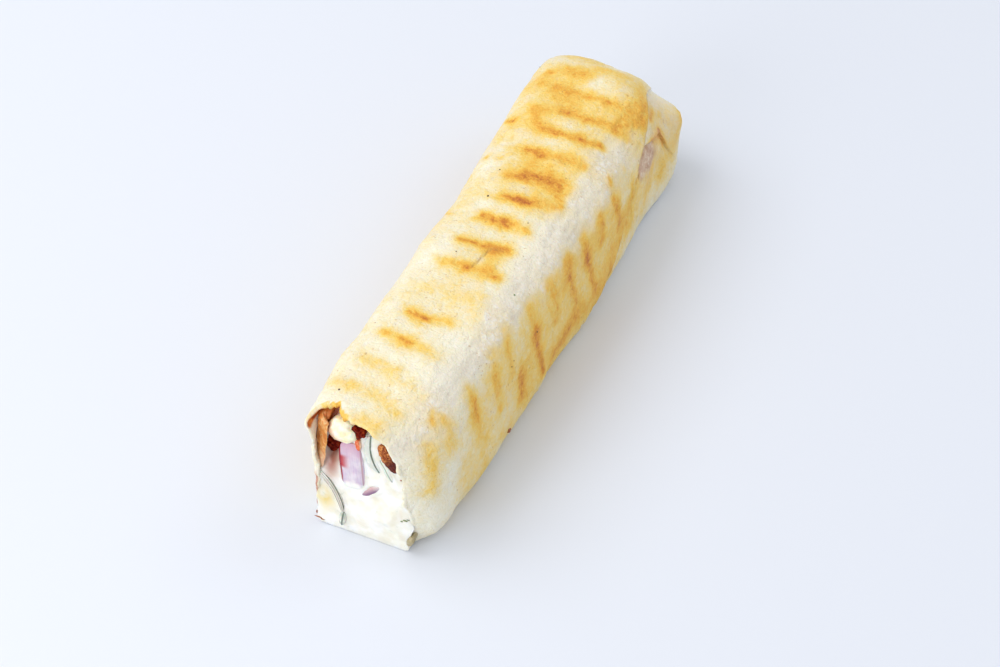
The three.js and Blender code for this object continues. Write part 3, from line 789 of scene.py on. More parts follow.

# %% [markdown]
# All numbers go into the mesh, for the inside and the rim as well: the rim is toasted like the edge that
# it belongs to, the greasy inside with its painted shade reaches half way round it, and juice runs over it
# from outside.

# %% The bread's mesh
no_inside = np.zeros(inside.shape[:2])
no_number = np.zeros((len(inside) + len(rim), len(mouth_angles)))
# Fat on the inside of the torn top, and painted shade of the pocket there
stained_and_shaded = 0.2 + 0.8 * plateau(wrapped(mouth_angles), 96, 108, 130, 137)
attributes = {
    "toast": np.concatenate([no_number + toast[0], toast]),
    "flour": np.concatenate([no_number, floury(angles, outer_y, flat_outer)]),
    "inside": np.concatenate([stained_and_shaded + no_inside, stained_and_shaded * 0.6 * turns / np.pi, 0 * toast]),
    "damp": np.concatenate([no_number, damp]),
    "rust": np.concatenate([no_inside, juice[0] * smooth(2.2 - turns, 0, 0.8), juice]),
    "crease": np.concatenate([no_number, shade]),
}
bread = loft("rolled_flatbread", bread_rings, attributes)

# %% [markdown]
# A material is a tree of nodes. To keep it readable, a link is wrapped so that ordinary arithmetic adds
# the Math nodes. Colours are written as a paint box shows them, from 0 to 255.

# %% Colours and links
def paint(red, green, blue):
    """A colour from 0 to 255, turned into the linear light that shaders work with."""
    shown = np.array([red, green, blue]) / 255
    light = np.where(shown <= 0.04045, shown / 12.92, ((shown + 0.055) / 1.055) ** 2.4)
    return (*light.tolist(), 1.0)


def arithmetic(operation):
    """Two methods for one kind of Math node: with the link on the left of the sign, and on its right."""
    def on_left(link, other):
        return link.finish.node("ShaderNodeMath", {"operation": operation}, {0: link, 1: other})

    def on_right(link, other):
        return link.finish.node("ShaderNodeMath", {"operation": operation}, {0: other, 1: link})

    return on_left, on_right


class Link:
    """A socket's value in a finish. Arithmetic on it adds Math nodes."""

    __add__, __radd__ = arithmetic("ADD")
    __sub__, __rsub__ = arithmetic("SUBTRACT")
    __mul__, __rmul__ = arithmetic("MULTIPLY")

    def __init__(self, finish, socket):
        self.finish = finish
        self.socket = socket

    def __neg__(self):
        return 0.0 - self

    def squared(self):
        """The link times itself."""
        return self * self

    def step(self, low, high):
        """0 below low, 1 above high, smooth between."""
        sockets = {"Value": self, "From Min": low, "From Max": high}
        return self.finish.node("ShaderNodeMapRange", {"interpolation_type": "SMOOTHSTEP"}, sockets)


print("middle grey in linear light:", np.round(paint(128, 128, 128), 2))

# %% [markdown]
# One method adds any node at all: its kind, its settings, and what goes into its sockets. The others are
# short names for the nodes that food needs, above all noise of a size in millimetres and colour ramps.

# %% Writing a material as expressions
class Finish:
    """A material under construction: its shader, and one method that adds nodes."""

    def __init__(self, name, **constants):
        self.material = bpy.data.materials.new(name)
        self.material.use_nodes = True
        self.tree = self.material.node_tree
        self.shader = self.tree.nodes["Principled BSDF"]
        for socket, value in constants.items():
            self.shader.inputs[socket.replace("_", " ")].default_value = value
        self.place = self.node("ShaderNodeTexCoord", {}, {}, "Object")

    def node(self, kind, settings, inputs, output=0):
        """Any node: settings are its properties, and inputs are links or values for its sockets."""
        made = self.tree.nodes.new(kind)
        for key, value in settings.items():
            if key == "stops":
                self.set_stops(made.color_ramp, value)
            else:
                setattr(made, key, value)
        for key, value in inputs.items():
            if isinstance(value, Link):
                self.tree.links.new(value.socket, made.inputs[key])
            else:
                made.inputs[key].default_value = value
        return Link(self, made.outputs[output])

    @staticmethod
    def set_stops(ramp, stops):
        """A ramp starts with two elements: add what is missing, then place and paint them all."""
        while len(ramp.elements) < len(stops):
            ramp.elements.new(1.0)
        for element, (place, *colour) in zip(ramp.elements, stops):
            element.position = place
            element.color = paint(*colour)

    def noise(self, size_mm, detail=2.0, distortion=0.0):
        """Noise from 0 to 1 with lumps of about this size."""
        sockets = {"Vector": self.place, "Scale": 1000 / size_mm, "Detail": detail}
        sockets["Distortion"] = distortion
        return self.node("ShaderNodeTexNoise", {}, sockets)

    def carried(self, name):
        """A number that the mesh carries at each point."""
        return self.node("ShaderNodeAttribute", {"attribute_name": name}, {}, "Fac")

    def mix(self, share, *colours):
        """From the first colour to the second. Each is a link, or a triple to be painted."""
        first, second = (c if isinstance(c, Link) else paint(*c) for c in colours)
        return self.node("ShaderNodeMix", {"data_type": "RGBA"}, {0: share, 6: first, 7: second}, 2)

    def ramp(self, value, *stops):
        """A colour by value. Each stop is a place from 0 to 1 and three numbers to be painted."""
        return self.node("ShaderNodeValToRGB", {"stops": stops}, {0: value})

    def feed(self, socket, link):
        """The link sets this socket of the shader."""
        self.tree.links.new(link.socket, self.shader.inputs[socket])

    def look(self, colour, height, depth_mm):
        """The shader's colour, and light shaded as if the surface rose by this depth where height is 1."""
        self.feed("Base Color", colour)
        sockets = {"Height": height, "Distance": depth_mm / 1000, "Strength": 1.0}
        self.feed("Normal", self.node("ShaderNodeBump", {}, sockets))


# %% [markdown]
# Flatbread is matt and a little see-through. Its colour follows how toasted it is, from cream over straw
# yellow and gold to burnt sienna, and the fine noise is added to that number and not to the colour, so
# that marks get ragged, grainy borders as on real dough.

# %% Toasted crust
toasted = Finish(
    "toasted_bread", Subsurface_Weight=0.12, Subsurface_Scale=0.0016, Subsurface_Radius=(1.0, 0.6, 0.3)
)
grain = toasted.noise(0.8, detail=3.0)
dimples = toasted.noise(1.7, detail=3.0, distortion=0.8)
mottle = toasted.noise(3.6, detail=3.0, distortion=0.6)
patches = toasted.noise(14)
baked = toasted.carried("toast")
fine = (0.12 + 0.45 * baked) * (grain - 0.5) + (0.12 + 0.3 * baked) * (dimples - 0.5)
browned = baked + fine + (0.18 + 0.35 * baked) * (mottle - 0.5) + 0.14 * (patches - 0.5)
crust = toasted.ramp(
    browned, (0.00, 241, 238, 222), (0.10, 238, 229, 198), (0.24, 239, 215, 148), (0.40, 240, 202, 100),
    (0.58, 235, 179, 66), (0.76, 217, 145, 42), (1.00, 180, 94, 26),
)
toasted.feed("Roughness", 0.66 - 0.12 * browned)
print("crust:", len(toasted.tree.nodes), "nodes")

# %% [markdown]
# Flour lies on top of the crust, and thins out where it is toasted. Then come small brown freckles, the
# streaky pink of the damp dough, the fat on the inside with painted shade of the pocket, painted shade in
# the creases and under the edges, and last the red juice.

# %% Flour, freckles, stains and painted shade
wisps = toasted.noise(4.5, detail=4.0, distortion=0.6).step(0.5, 0.68)
flour = toasted.carried("flour") * (0.85 + 1.1 * (grain - 0.5) + 1.3 * (dimples - 0.5)) + 0.32 * wisps
evenly = 0.5 * mottle + 0.5 * dimples
dust = toasted.ramp(evenly, (0.36, 218, 206, 186), (0.50, 233, 225, 208), (0.64, 242, 237, 226))
dusted = toasted.mix(flour * (1 - baked.step(0.2, 0.5)), crust, dust)
freckle = toasted.noise(1.1, detail=1.0).step(0.68, 0.74) * toasted.noise(9).step(0.42, 0.6)
freckled = toasted.mix(0.45 * freckle, dusted, (176, 126, 70))
streaky = toasted.ramp(evenly, (0.36, 186, 146, 122), (0.52, 210, 178, 154), (0.66, 230, 214, 194))
damped = toasted.mix(toasted.carried("damp"), freckled, streaky)
fatty_noise = toasted.noise(2.4, detail=3.0)
# The inside's colour: fat stain, with darker orange as painted shade of the pocket
fat_and_shade = toasted.ramp(fatty_noise, (0.30, 156, 64, 12), (0.50, 202, 104, 30), (0.75, 228, 156, 76))
greased_and_shaded = toasted.mix(toasted.carried("inside").step(0.25, 0.6), damped, fat_and_shade)
# Painted shade in brown along the dark creases and under the free edge and the hem
shade_lined = toasted.mix(2.2 * toasted.carried("crease"), greased_and_shaded, (182, 138, 70))
juiced = toasted.mix(toasted.carried("rust"), shade_lined, (176, 76, 42))
toasted.look(juiced, 0.3 * grain + 0.5 * dimples + 0.5 * mottle, 0.85)
finish_piece(bread, toasted.material, "toasted_bread", "flatbread")
print("with flour and stains:", len(toasted.tree.nodes), "nodes")

# %% [markdown]
# At the top left of the mouth the inner turn of the same sheet shows as a wavy ribbon that hangs down
# beside the filling, with a dark pocket behind it. A ribbon is a path in the section, carried a short way
# into the roll. Near the mouth it curls outwards, so its greasy inner face catches the eye.

# %% The ribbon's path and section
TURN_PATH = np.array([
    (6.6, 46.2), (4.6, 46.3), (2.9, 45.4), (2.0, 43.4), (1.8, 40.6), (1.6, 37.4), (1.2, 34.2), (0.9, 31.0),
    (0.8, 28.2), (0.8, 25.0), (0.9, 21.0),
])
# At each place of the path: how far the ribbon curls, and how far behind the mouth's plane it starts
TURN_CURL = [3.6, 4.4, 4.6, 4.3, 4.0, 3.8, 3.8, 3.8, 3.5, 2.8, 1.6]
TURN_FRONT = [4.6, 3.8, 2.6, 1.8, 1.4, 1.0, 0.6, 0.4, 0.3, 0.4, 1.2]
TURN_BACK = 11
TURN_THICKNESS = 0.9
TURN_STEPS = 90
FACE_ROWS = 22


def along_path(path, count):
    """Points evenly spaced by number along a path, on a smooth curve through its corners."""
    t = np.linspace(0, len(path) - 1, count)
    weights = np.exp(-((t[:, None] - np.arange(len(path))) ** 2) / 0.5)
    return (weights @ path) / weights.sum(1, keepdims=True)


def along_turn(values):
    """One value for each step of the ribbon, straight between the given ones, as a column."""
    return np.interp(np.linspace(0, 1, TURN_STEPS), np.linspace(0, 1, len(values)), values)[:, None]


def ribbon_ring():
    """Once round the sheet's section: shares of the way into the roll, and of the thickness."""
    inwards = np.concatenate([[0, 0.04, 0.12], np.linspace(0.25, 1, FACE_ROWS) ** 1.5])
    one_face = np.concatenate([[0.0, 0.32, 0.5], np.full(FACE_ROWS, 0.5)])
    return np.concatenate([inwards, inwards[::-1]]), np.concatenate([one_face, -one_face[::-1]])


turn_line = along_path(TURN_PATH, TURN_STEPS)
print("the ribbon hangs from", turn_line[0].round(1), "to", turn_line[-1].round(1))

# %% [markdown]
# The ribbon's surface is its path, plus the thickness and the curl along the path's normal. The curl is
# strongest at the front and dies away behind it. Two numbers ride along for the material: how near the
# light a point is, and how far down the ribbon it lies.

# %% The inner turn of the bread
run = np.gradient(turn_line, axis=0)
normal = np.stack([-run[:, 1], run[:, 0]], 1) / np.linalg.norm(run, axis=1, keepdims=True)
inwards, face = ribbon_ring()
front = along_turn(TURN_FRONT)
turn_y = front + inwards * (TURN_BACK - front)
aside = TURN_THICKNESS * face + along_turn(TURN_CURL) * np.exp(-(((turn_y - front) / 2.4) ** 1.3))
spread = reach(turn_y)[0] - MOUTH_LEFT
sunk = 0.3 * np.maximum(turn_y - 4, 0)
turn_x = turn_line[:, :1] + normal[:, :1] * aside + spread + sunk
turn_z = turn_line[:, 1:] + normal[:, 1:] * aside - sunk * (turn_line[:, 1:] > 38)
turn_rings = np.stack([turn_x, turn_y, turn_z], -1)
turn_rings[..., 0] += 0.25 * noise(turn_rings, 3.0, 81)
turn_rings[..., 1] += 0.3 * rough(turn_rings, 2.2, 86) * (1 - inwards)
fallen = np.linspace(0, 1, TURN_STEPS)[:, None] + 0 * turn_y
inner_turn = loft("inner_turn", turn_rings, {"lit": 1 - inwards + 0 * turn_y, "fallen": fallen})

# %% [markdown]
# The ribbon has soaked up fat and orange juices. It is glossier than the outside of the bread, tan where
# it is thin and lit from behind, and painted a darker orange as shade down in the pocket.

# %% Greasy inner bread
greasy = Finish("greasy_bread", Roughness=0.42, Subsurface_Weight=0.2, Subsurface_Scale=0.0015)
streaks = greasy.noise(1.8, detail=3.0, distortion=0.8)
stain = greasy.ramp(streaks, (0.30, 194, 110, 42), (0.50, 218, 146, 72), (0.72, 242, 202, 142))
lit, fallen = greasy.carried("lit"), greasy.carried("fallen")
# Away from the light, back in the pocket, the ribbon turns dark orange: painted shade
stain_and_pocket_shade = greasy.mix(lit.step(0.2, 0.9) * (0.35 + 0.65 * fallen.step(0.1, 0.36)), (192, 98, 26), stain)
milky = 0.7 * fallen.step(0.6, 0.95) * lit.step(0.7, 0.95)
greasy.look(greasy.mix(milky, stain_and_pocket_shade, (236, 206, 186)), streaks, 0.2)
finish_piece(inner_turn, greasy.material, "toasted_bread", "flatbread")

# %% [markdown]
# Pieces of filling run straight through the roll from the sauce's face, as their solids do. Each one is a
# small superellipse, tilted and bowed. This table places them: the middle and the half sizes on the face
# in millimetres, the squareness, and how far the nose stands out of the face.

# %% The pieces of filling
FILLING_END = 184
FILLINGS = {
    "coated_chicken": dict(at=(9.2, 40.5), half=(5.2, 4.2), square=2.2, front=2.8, nose=3.0, shrink=0.2),
    "dark_meat": dict(at=(14.6, 41.9), half=(2.4, 2.1), tilt=12, square=2.2, front=1.4, shrink=0.2),
    "grilled_meat": dict(at=(25.0, 35.2), half=(2.0, 5.4), tilt=-43, square=2.6, front=0.9),
    "meat_by_fold": dict(at=(5.4, 32.6), half=(3.2, 4.6), tilt=20, square=2.0, front=-2.0, nose=1.6),
    "red_onion": dict(at=(12.8, 28.0), half=(4.2, 8.2), tilt=-9, square=3.6, front=1.0),
    "onion_scrap": dict(at=(19.6, 21.0), half=(1.6, 4.9), tilt=50, square=2.2, front=0.3),
    "tomato_bit": dict(at=(14.5, 37.0), half=(1.0, 2.0), tilt=-8, square=2.2, front=1.1),
    "cucumber_slice": dict(at=(20.2, 34.0), half=(2.3, 7.2), tilt=-20, bow=-1.4, square=2.6, front=0.3),
    "cucumber_edge": dict(at=(24.4, 30.4), half=(1.0, 4.8), tilt=-38, square=2.4, front=0.25),
    "cucumber_strip": dict(
        at=(5.9, 15.2), half=(1.2, 8.4), tilt=-33, bow=2.2, square=2.6, front=0.6, taper=0.2
    ),
    "cucumber_heel": dict(at=(10.3, 5.9), half=(1.15, 3.2), tilt=8, square=2.4, front=0.7),
    "olive_bit": dict(at=(34.1, 6.0), half=(1.05, 2.2), tilt=20, square=2.2, front=0.6, drift=0, end=5),
}
USUAL = {"tilt": 0, "bow": 0, "taper": 0, "shrink": 0, "drift": 1, "end": FILLING_END}
for spec in FILLINGS.values():
    spec.setdefault("nose", min(0.9, 0.4 * min(spec["half"])))
    for key, value in USUAL.items():
        spec.setdefault(key, value)
print(len(FILLINGS), "pieces of filling")

# %% [markdown]
# A place on the face keeps its share of the roll's width as the roll widens behind the mouth. The nose is
# rounded over a few rings, like the end of a capsule. The same formulas as in the solids are used, so the
# pieces lie in the same places.

# %% A piece of filling as rings
FACE_LOW = -2
FACE_HIGH = 4.5
SIDES = 72
NOSE_ROWS = 22
ROWS_BEHIND = np.array([0.006, 0.013, 0.021, 0.03, 0.04, 0.055, 0.075, 0.11, 0.33, 0.6, 0.8])


def face_front(z):
    """The face slopes back from its foot to its top."""
    return lerp(FACE_LOW, FACE_HIGH, smooth(z, 4, 48))


def carried_x(at, y, drift):
    """Where a place on the face is carried to across the roll: with drift 1 it keeps its share."""
    face_left, face_right = reach(face_front(at[1]))
    left, right = reach(y)
    return lerp(at[0], left + (at[0] - face_left) * (right - left) / (face_right - face_left), drift)


def signed_power(value, power):
    """|value| to the power, with the sign of value."""
    return np.sign(value) * np.abs(value) ** power


def nose_and_body(spec):
    """Distance and size of each ring: a quarter circle for the nose, then a body that may shrink."""
    turn = np.pi / 2 * np.linspace(0.02, 1, NOSE_ROWS) ** 0.8
    behind = (spec["end"] - 2) * ROWS_BEHIND
    start = spec["nose"] - spec["front"]
    along = np.concatenate([start - spec["nose"] * np.cos(turn), start + behind, [spec["end"]]])
    size = np.concatenate([np.sin(turn), 1 - spec["shrink"] * smooth(behind, 0, 6), [0.75]])
    return along[:, None], size[:, None]


def filling_rings(spec):
    """A superellipse, bowed by 1 − up², tilted about its middle, on the slope that the face has there."""
    along, size = nose_and_body(spec)
    a = np.linspace(0, 2 * np.pi, SIDES, endpoint=False)
    upward = signed_power(np.sin(a), 2 / spec["square"])
    local_across, local_up = size * signed_power(np.cos(a), 2 / spec["square"]), size * upward
    px = local_across * spec["half"][0] * (1 + spec["taper"] * upward) + spec["bow"] * (1 - local_up**2)
    pz = local_up * spec["half"][1]
    t = math.radians(spec["tilt"])
    x = px * math.cos(t) + pz * math.sin(t)
    z = spec["at"][1] - px * math.sin(t) + pz * math.cos(t)
    y = along + face_front(z) * np.maximum(0, 1 - along / EVEN_OUT)
    points = np.stack([carried_x(spec["at"], y, spec["drift"]) + x, y, z], -1)
    return points, along, {"across": local_across, "upward": local_up}


print("rings of a piece:", filling_rings(FILLINGS["red_onion"])[0].shape)

# %% [markdown]
# The solids are smooth. Here each piece gets lumps or grain of its own, which push its points away from
# the middle of their ring. That is done near the face only, because the rest is never seen.

# %% Making a piece of filling
def filling(name, lumps, grain, seed, finish, slot, node=None):
    """Rings roughened near the face by two noises, each given as (height, size) in mm.

    The piece replaces the solid of its own name, or the node that it is a part of.
    """
    spec = FILLINGS[name]
    points, along, local = filling_rings(spec)
    away = points - points.mean(1, keepdims=True) - [0, min(spec["half"]), 0]
    height = lumps[0] * noise(points, lumps[1], seed) + grain[0] * rough(points, grain[1], seed + 3)
    height *= 1 - smooth(along, 8, 16)
    points = points + away * (height / np.linalg.norm(away, axis=-1))[..., None]
    finish_piece(loft(name + "_piece", points, local), finish.material, slot, node or name)


# %% [markdown]
# The pale lump under the torn top is meat wrapped in sauce and melted fat: bright cream, painted a little
# yellower in its hollows as shade, and pinkish on its left where the meat shows through.

# %% Coated chicken
creamy = Finish("coated_chicken", Roughness=0.3, Subsurface_Weight=0.35, Subsurface_Scale=0.002)
clots = creamy.noise(2.6)
# Low noise, where the bump makes hollows, gets the yellower cream: painted shade
cream = creamy.ramp(clots, (0.3, 246, 230, 178), (0.5, 250, 244, 210), (0.7, 252, 250, 234))
lower_left = (-creamy.carried("across") - 0.5 * creamy.carried("upward")).step(0.2, 0.8)
flesh = lower_left * (0.35 + creamy.noise(2.6))
creamy.look(creamy.mix(flesh, cream, (226, 172, 138)), clots, 0.4)
filling("coated_chicken", (0.9, 3.6), (0.22, 1.6), 91, creamy, "coated_chicken")

# %% [markdown]
# Grilled meat is made of coarse fibres: lighter and orange at the top, its palest specks painted highlights,
# and dark red brown lower down. The two other scraps are the same meat, painted a darker red as the shade
# of the hollows that they lie in.

# %% Grilled meat
meaty = Finish("grilled_meat", Roughness=0.45, Specular_IOR_Level=0.2)
fibres = meaty.noise(0.9, detail=3.0, distortion=1.2)
# The palest stop of the upper colours paints highlights on the fibres
upper_meat = meaty.ramp(
    fibres, (0.28, 96, 34, 14), (0.45, 158, 78, 36), (0.58, 208, 130, 66), (0.74, 236, 178, 112)
)
lower_meat = meaty.ramp(fibres, (0.3, 64, 14, 10), (0.55, 98, 34, 24), (0.8, 130, 60, 40))
meaty.look(meaty.mix(meaty.carried("upward").step(0.25, -0.45), upper_meat, lower_meat), fibres, 0.5)
filling("grilled_meat", (0.35, 2.2), (0.28, 0.9), 101, meaty, "grilled_meat")

# A darker red copy of the meat for the scraps in the hollows: painted shade
meat_in_shade = Finish("dark_meat", Roughness=0.45, Specular_IOR_Level=0.05)
clumps = meat_in_shade.noise(1.0, detail=3.0)
meat_in_shade.look(meat_in_shade.ramp(clumps, (0.3, 64, 4, 1), (0.5, 104, 14, 5), (0.72, 160, 62, 26)), clumps, 0.4)
for scrap, seed in (("dark_meat", 111), ("meat_by_fold", 121)):
    filling(scrap, (0.5, 1.6), (0.3, 0.8), seed, meat_in_shade, "grilled_meat")

# %% [markdown]
# Red onion is clear, lilac and wet, with fine veins from top to bottom and a pink blush at the top. The
# veins are noise over the piece's own place across and upwards, stretched upwards.

# %% Flesh of the red onion
onion = Finish("red_onion", Roughness=0.16, Subsurface_Weight=0.4, Subsurface_Scale=0.002)
across, upward = onion.carried("across"), onion.carried("upward")
veins = onion.node("ShaderNodeCombineXYZ", {}, {0: 5.0 * across, 1: 0.7 * upward})
stripe = onion.node("ShaderNodeTexNoise", {}, {"Vector": veins, "Scale": 2.2, "Detail": 3.0})
veined = 0.4 * stripe + 0.6 * onion.noise(3.0)
lilac = onion.ramp(veined, (0.38, 204, 184, 208), (0.50, 214, 202, 216), (0.62, 226, 218, 226))
blush = onion.mix(0.8 * upward.step(0.15, 1.0), lilac, (206, 160, 186))
print("flesh of the onion:", len(onion.tree.nodes), "nodes")

# %% [markdown]
# Its skin side is a thin crimson line down the left edge that bleeds into the flesh, the other edge a
# faint purple one. Its foot sinks into the sauce, so it fades to white there.

# %% Edges of the red onion
level = (upward - 0.22).squared()
bleed = (-across).step(-0.1, 0.8) * (1 - 9.0 * level).step(0, 0.8)
reddened = onion.mix(bleed, blush, (186, 40, 50))
left_line = (-across).step(0.74, 0.82) * (1 - (-across).step(0.92, 0.98)) * (upward + 1.2).step(0.1, 0.8)
crimson = onion.mix(left_line, reddened, (150, 22, 44))
right_line = across.step(0.76, 0.84) * (1 - across.step(0.9, 0.96))
purple = onion.mix(0.6 * right_line, crimson, (176, 128, 134))
sinking = (0.5 * onion.noise(2.4) - upward - 0.25 * across.squared()).step(0.72, 1.1)
onion.look(onion.mix(sinking, purple, (250, 247, 240)), stripe, 0.12)
filling("red_onion", (0.35, 5.0), (0.06, 1.6), 131, onion, "red_onion")

# %% [markdown]
# A small scrap of the same onion lies lower down, half sunk in the sauce: purple where it comes out, and
# covered with white in patches.

# %% Scrap of red onion
scraped = Finish("onion_scrap", Roughness=0.2, Subsurface_Weight=0.3, Subsurface_Scale=0.0015)
rise = scraped.carried("across").step(-0.7, 0.6)
cover = (scraped.carried("upward") + 0.8 * scraped.noise(1.6) - 0.5).step(0.1, 0.95)
half_sunk = scraped.mix(rise, (214, 178, 178), (140, 104, 138))
scraped.feed("Base Color", scraped.mix(cover, half_sunk, (250, 246, 238)))
filling("onion_scrap", (0.25, 2.0), (0.08, 1.0), 141, scraped, "red_onion")

# %% [markdown]
# The small orange red bit between the lump and the onion is wet tomato, paler along both edges.

# %% Tomato
tomato = Finish("tomato", Roughness=0.2, Subsurface_Weight=0.3, Subsurface_Scale=0.0015)
pulp = tomato.noise(0.9)
red_pulp = tomato.ramp(pulp, (0.3, 206, 72, 26), (0.55, 232, 116, 62), (0.8, 246, 180, 136))
at_edges = tomato.carried("across").squared().step(0.3, 0.95)
tomato.look(tomato.mix(at_edges, red_pulp, (250, 206, 172)), pulp, 0.25)
filling("tomato_bit", (0.3, 1.4), (0.12, 0.8), 151, tomato, "tomato")

# %% [markdown]
# Cucumber is cut thin, so it shows its dark green skin as a fine line with pale watery flesh beside it,
# half coated in sauce. The skin is broken up by the sauce, so its strength is a noise as well.

# %% Cucumber
def cucumber(name, lines, flesh, rind, seed, sunk=1.0, node=None):
    """lines are (place across, half width) of fine dark lines, and sunk hides the edges in sauce."""
    made = Finish(name, Roughness=0.2, Subsurface_Weight=0.35, Subsurface_Scale=0.0015)
    cover = made.noise(1.5, detail=3.0)
    across = made.carried("across")
    wavy = across + 0.1 * (made.noise(4.0) - 0.5)
    shown = made.mix(made.noise(2.2).step(0.45, 0.75), flesh, (236, 236, 226))
    for place, width in lines:
        on_line = (1 - (1 / width**2) * (wavy - place).squared()).step(0, 0.7)
        shown = made.mix(on_line * cover.step(0.08, 0.3), shown, rind)
    at_edges = sunk * across.squared().step(0.5, 0.95)
    made.look(made.mix(at_edges, shown, (244, 243, 234)), cover, 0.12)
    filling(name, (0.25, 2.6), (0.08, 1.1), seed, made, "cucumber", node)


cucumber("cucumber_slice", [(0.26, 0.15)], (214, 219, 210), (100, 112, 98), 161)
cucumber("cucumber_edge", [(0.0, 0.26)], (226, 230, 218), (160, 172, 154), 171)
strip_lines = [(0.72, 0.16), (0.15, 0.07), (-0.7, 0.13)]
cucumber("cucumber_strip", strip_lines, (204, 198, 186), (108, 112, 98), 181, sunk=0.0)
cucumber("cucumber_heel", [(0.1, 0.3)], (186, 194, 182), (112, 126, 112), 187, 0.4, "cucumber_strip")

# %% [markdown]
# A grey brown bit of olive lies at the lower right, against the bread.

# %% Olive
olive = Finish("olive", Roughness=0.28)
olive.look(olive.mix(olive.noise(1.2), (134, 118, 78), (196, 184, 146)), olive.noise(0.8), 0.2)
filling("olive_bit", (0.3, 1.6), (0.1, 0.9), 191, olive, "olive")

# %% [markdown]
# White sauce fills what the bread and the pieces leave. Its border follows the inside of the torn edge.
# Along the bottom it runs out over the bread's edge and rests on the surface below.

# %% The sauce's border
SAUCE_ANGLES = np.linspace(0, 360, 240, endpoint=False)
OVER_RIM = 0.5


def low_part(angle):
    """1 along the underside, where the sauce overflows, and 0 elsewhere."""
    return plateau(-wrapped(angle), 46, 60, 116, 130)


low = low_part(SAUCE_ANGLES)
lower_left = smooth(SAUCE_ANGLES, 196, 216) * (1 - low)
rim_in = lerp(rim_thickness(SAUCE_ANGLES) - 0.25, OVER_RIM, low) - 0.55 * lower_left
sauce_rim = roll_point(SAUCE_ANGLES, edge_setback(SAUCE_ANGLES) * (1 - low), rim_in)
sauce_rim[:, 0] += 2.0 * bump(wrapped(SAUCE_ANGLES), -61, 9)
sauce_rim[:, 2] = lerp(sauce_rim[:, 2], np.maximum(0, sauce_rim[:, 2] - OVER_RIM), low)
print("the sauce's border, low and high:", sauce_rim.min(0).round(1), sauce_rim.max(0).round(1))

# %% [markdown]
# The face is a disc of rings from a middle place to the border, worked out as a height: the slope, the
# hollows by the fold, soft ripples, and a small climb where it wets each piece.

# %% The sauce's face
FACE_RINGS = 84
MIDDLE_X = 17
MIDDLE_Z = 22
# Place across and up, width and depth of each hollow, in mm
HOLLOWS = [
    (5.5, 45.5, 6, 6.5), (5.4, 33.4, 2.8, 4.6), (4.9, 29.6, 2.4, 3.2), (27, 37.5, 3.5, 2.6),
    (16.5, 44, 3, 2.4),
]


def hollow(x, z):
    """Depth of the hollows where the sauce doesn't reach the bread: a sum of round bells."""
    return sum(deep * bump(x, at_x, wide) * bump(z, at_z, wide) for at_x, at_z, wide, deep in HOLLOWS)


def wetting(x, z):
    """1 at the border of a piece of filling, and less with a bell of the distance from it."""
    most = np.zeros_like(x)
    for spec in FILLINGS.values():
        t = math.radians(spec["tilt"])
        dx, dz = x - spec["at"][0], z - spec["at"][1]
        pz = (dx * math.sin(t) + dz * math.cos(t)) / spec["half"][1]
        bowed = spec["bow"] * (1 - np.clip(pz, -1, 1) ** 2)
        px = (dx * math.cos(t) - dz * math.sin(t) - bowed) / spec["half"][0]
        size = (np.abs(px) ** spec["square"] + np.abs(pz) ** spec["square"]) ** (1 / spec["square"])
        most = np.maximum(most, bump((size - 1) * min(spec["half"]), 0.2, 0.6))
    return most


shares = np.linspace(0.01, 1, FACE_RINGS)[:, None] ** 0.8
face_x = lerp(MIDDLE_X, sauce_rim[:, 0], shares)
face_z = lerp(MIDDLE_Z, sauce_rim[:, 2], shares)
level = np.stack([face_x, 0 * face_x, face_z], -1)
ripples = 0.6 * noise(level, 6.5, 201) + 0.22 * noise(level, 2.8, 202) + 0.05 * noise(level, 1.2, 203)
swollen = 0.9 * (1 - shares**2) - 0.45
face_y = face_front(face_z) + hollow(face_x, face_z) - swollen
face_y -= ripples * smooth(face_z, -1, 4) + 0.3 * wetting(face_x, face_z)
sauce_face = np.stack([face_x, face_y, face_z], -1)
print("sauce face:", sauce_face.shape[:2], "rings by points")

# %% [markdown]
# Behind the face the sauce fills the roll to the folded end, as its solid does. None of that shows, so a
# few rings are enough. Three stains ride along as numbers: oil at the lower left, juice beside the onion
# that is darkened as painted shade of the recess there, and fat under the torn top that is darkened as
# painted shade of the pocket.

# %% The sauce behind its face
SAUCE_ROWS = np.array([0, 2, 5, 10, 40, 80, 120, 160, 184, 195, 203, 206.0])[:, None]
OFF_THE_WALL = 0.5

lip = sauce_rim.copy()
lip[:, 1] = lerp(sauce_face[-1, :, 1] + 0.8, 3.5, low)
back_angles = SAUCE_ANGLES + 0 * SAUCE_ROWS
after_lip = lip[:, 1] + 0.1 * np.arange(1, len(SAUCE_ROWS) + 1)[:, None]
back_y = np.maximum(behind_edge(back_angles, SAUCE_ROWS), after_lip)
sauce_back = roll_point(back_angles, back_y, wall_depth(back_angles, back_y) + OFF_THE_WALL)
sauce_rings = np.concatenate([sauce_face, lip[None], sauce_back])
x, z = sauce_rings[..., 0], sauce_rings[..., 2]
stains = {
    "oily": bump(x, 3.6, 3.8) * bump(z, 12.4, 4.6),
    # Pink juice, darkened as painted shade of the recess between the ribbon and the onion
    "rosy": bump(x, 5.6, 2.8) * bump(z, 26.4, 5.5),
    # Fat, darkened as painted shade of the pocket under the torn top
    "fatty": smooth(bump(x, 3.5, 6.0) * bump(z, 44.0, 7.4), 0.25, 0.6),
}
sauce = loft("white_sauce", sauce_rings, stains)

# %% [markdown]
# The sauce is thick, glossy and nearly white, with light carried a little way inside. The three stains
# colour it, the juice and the fat also as painted shade, and here and there a shred of herb glimmers
# through as a faint grey green cloud.

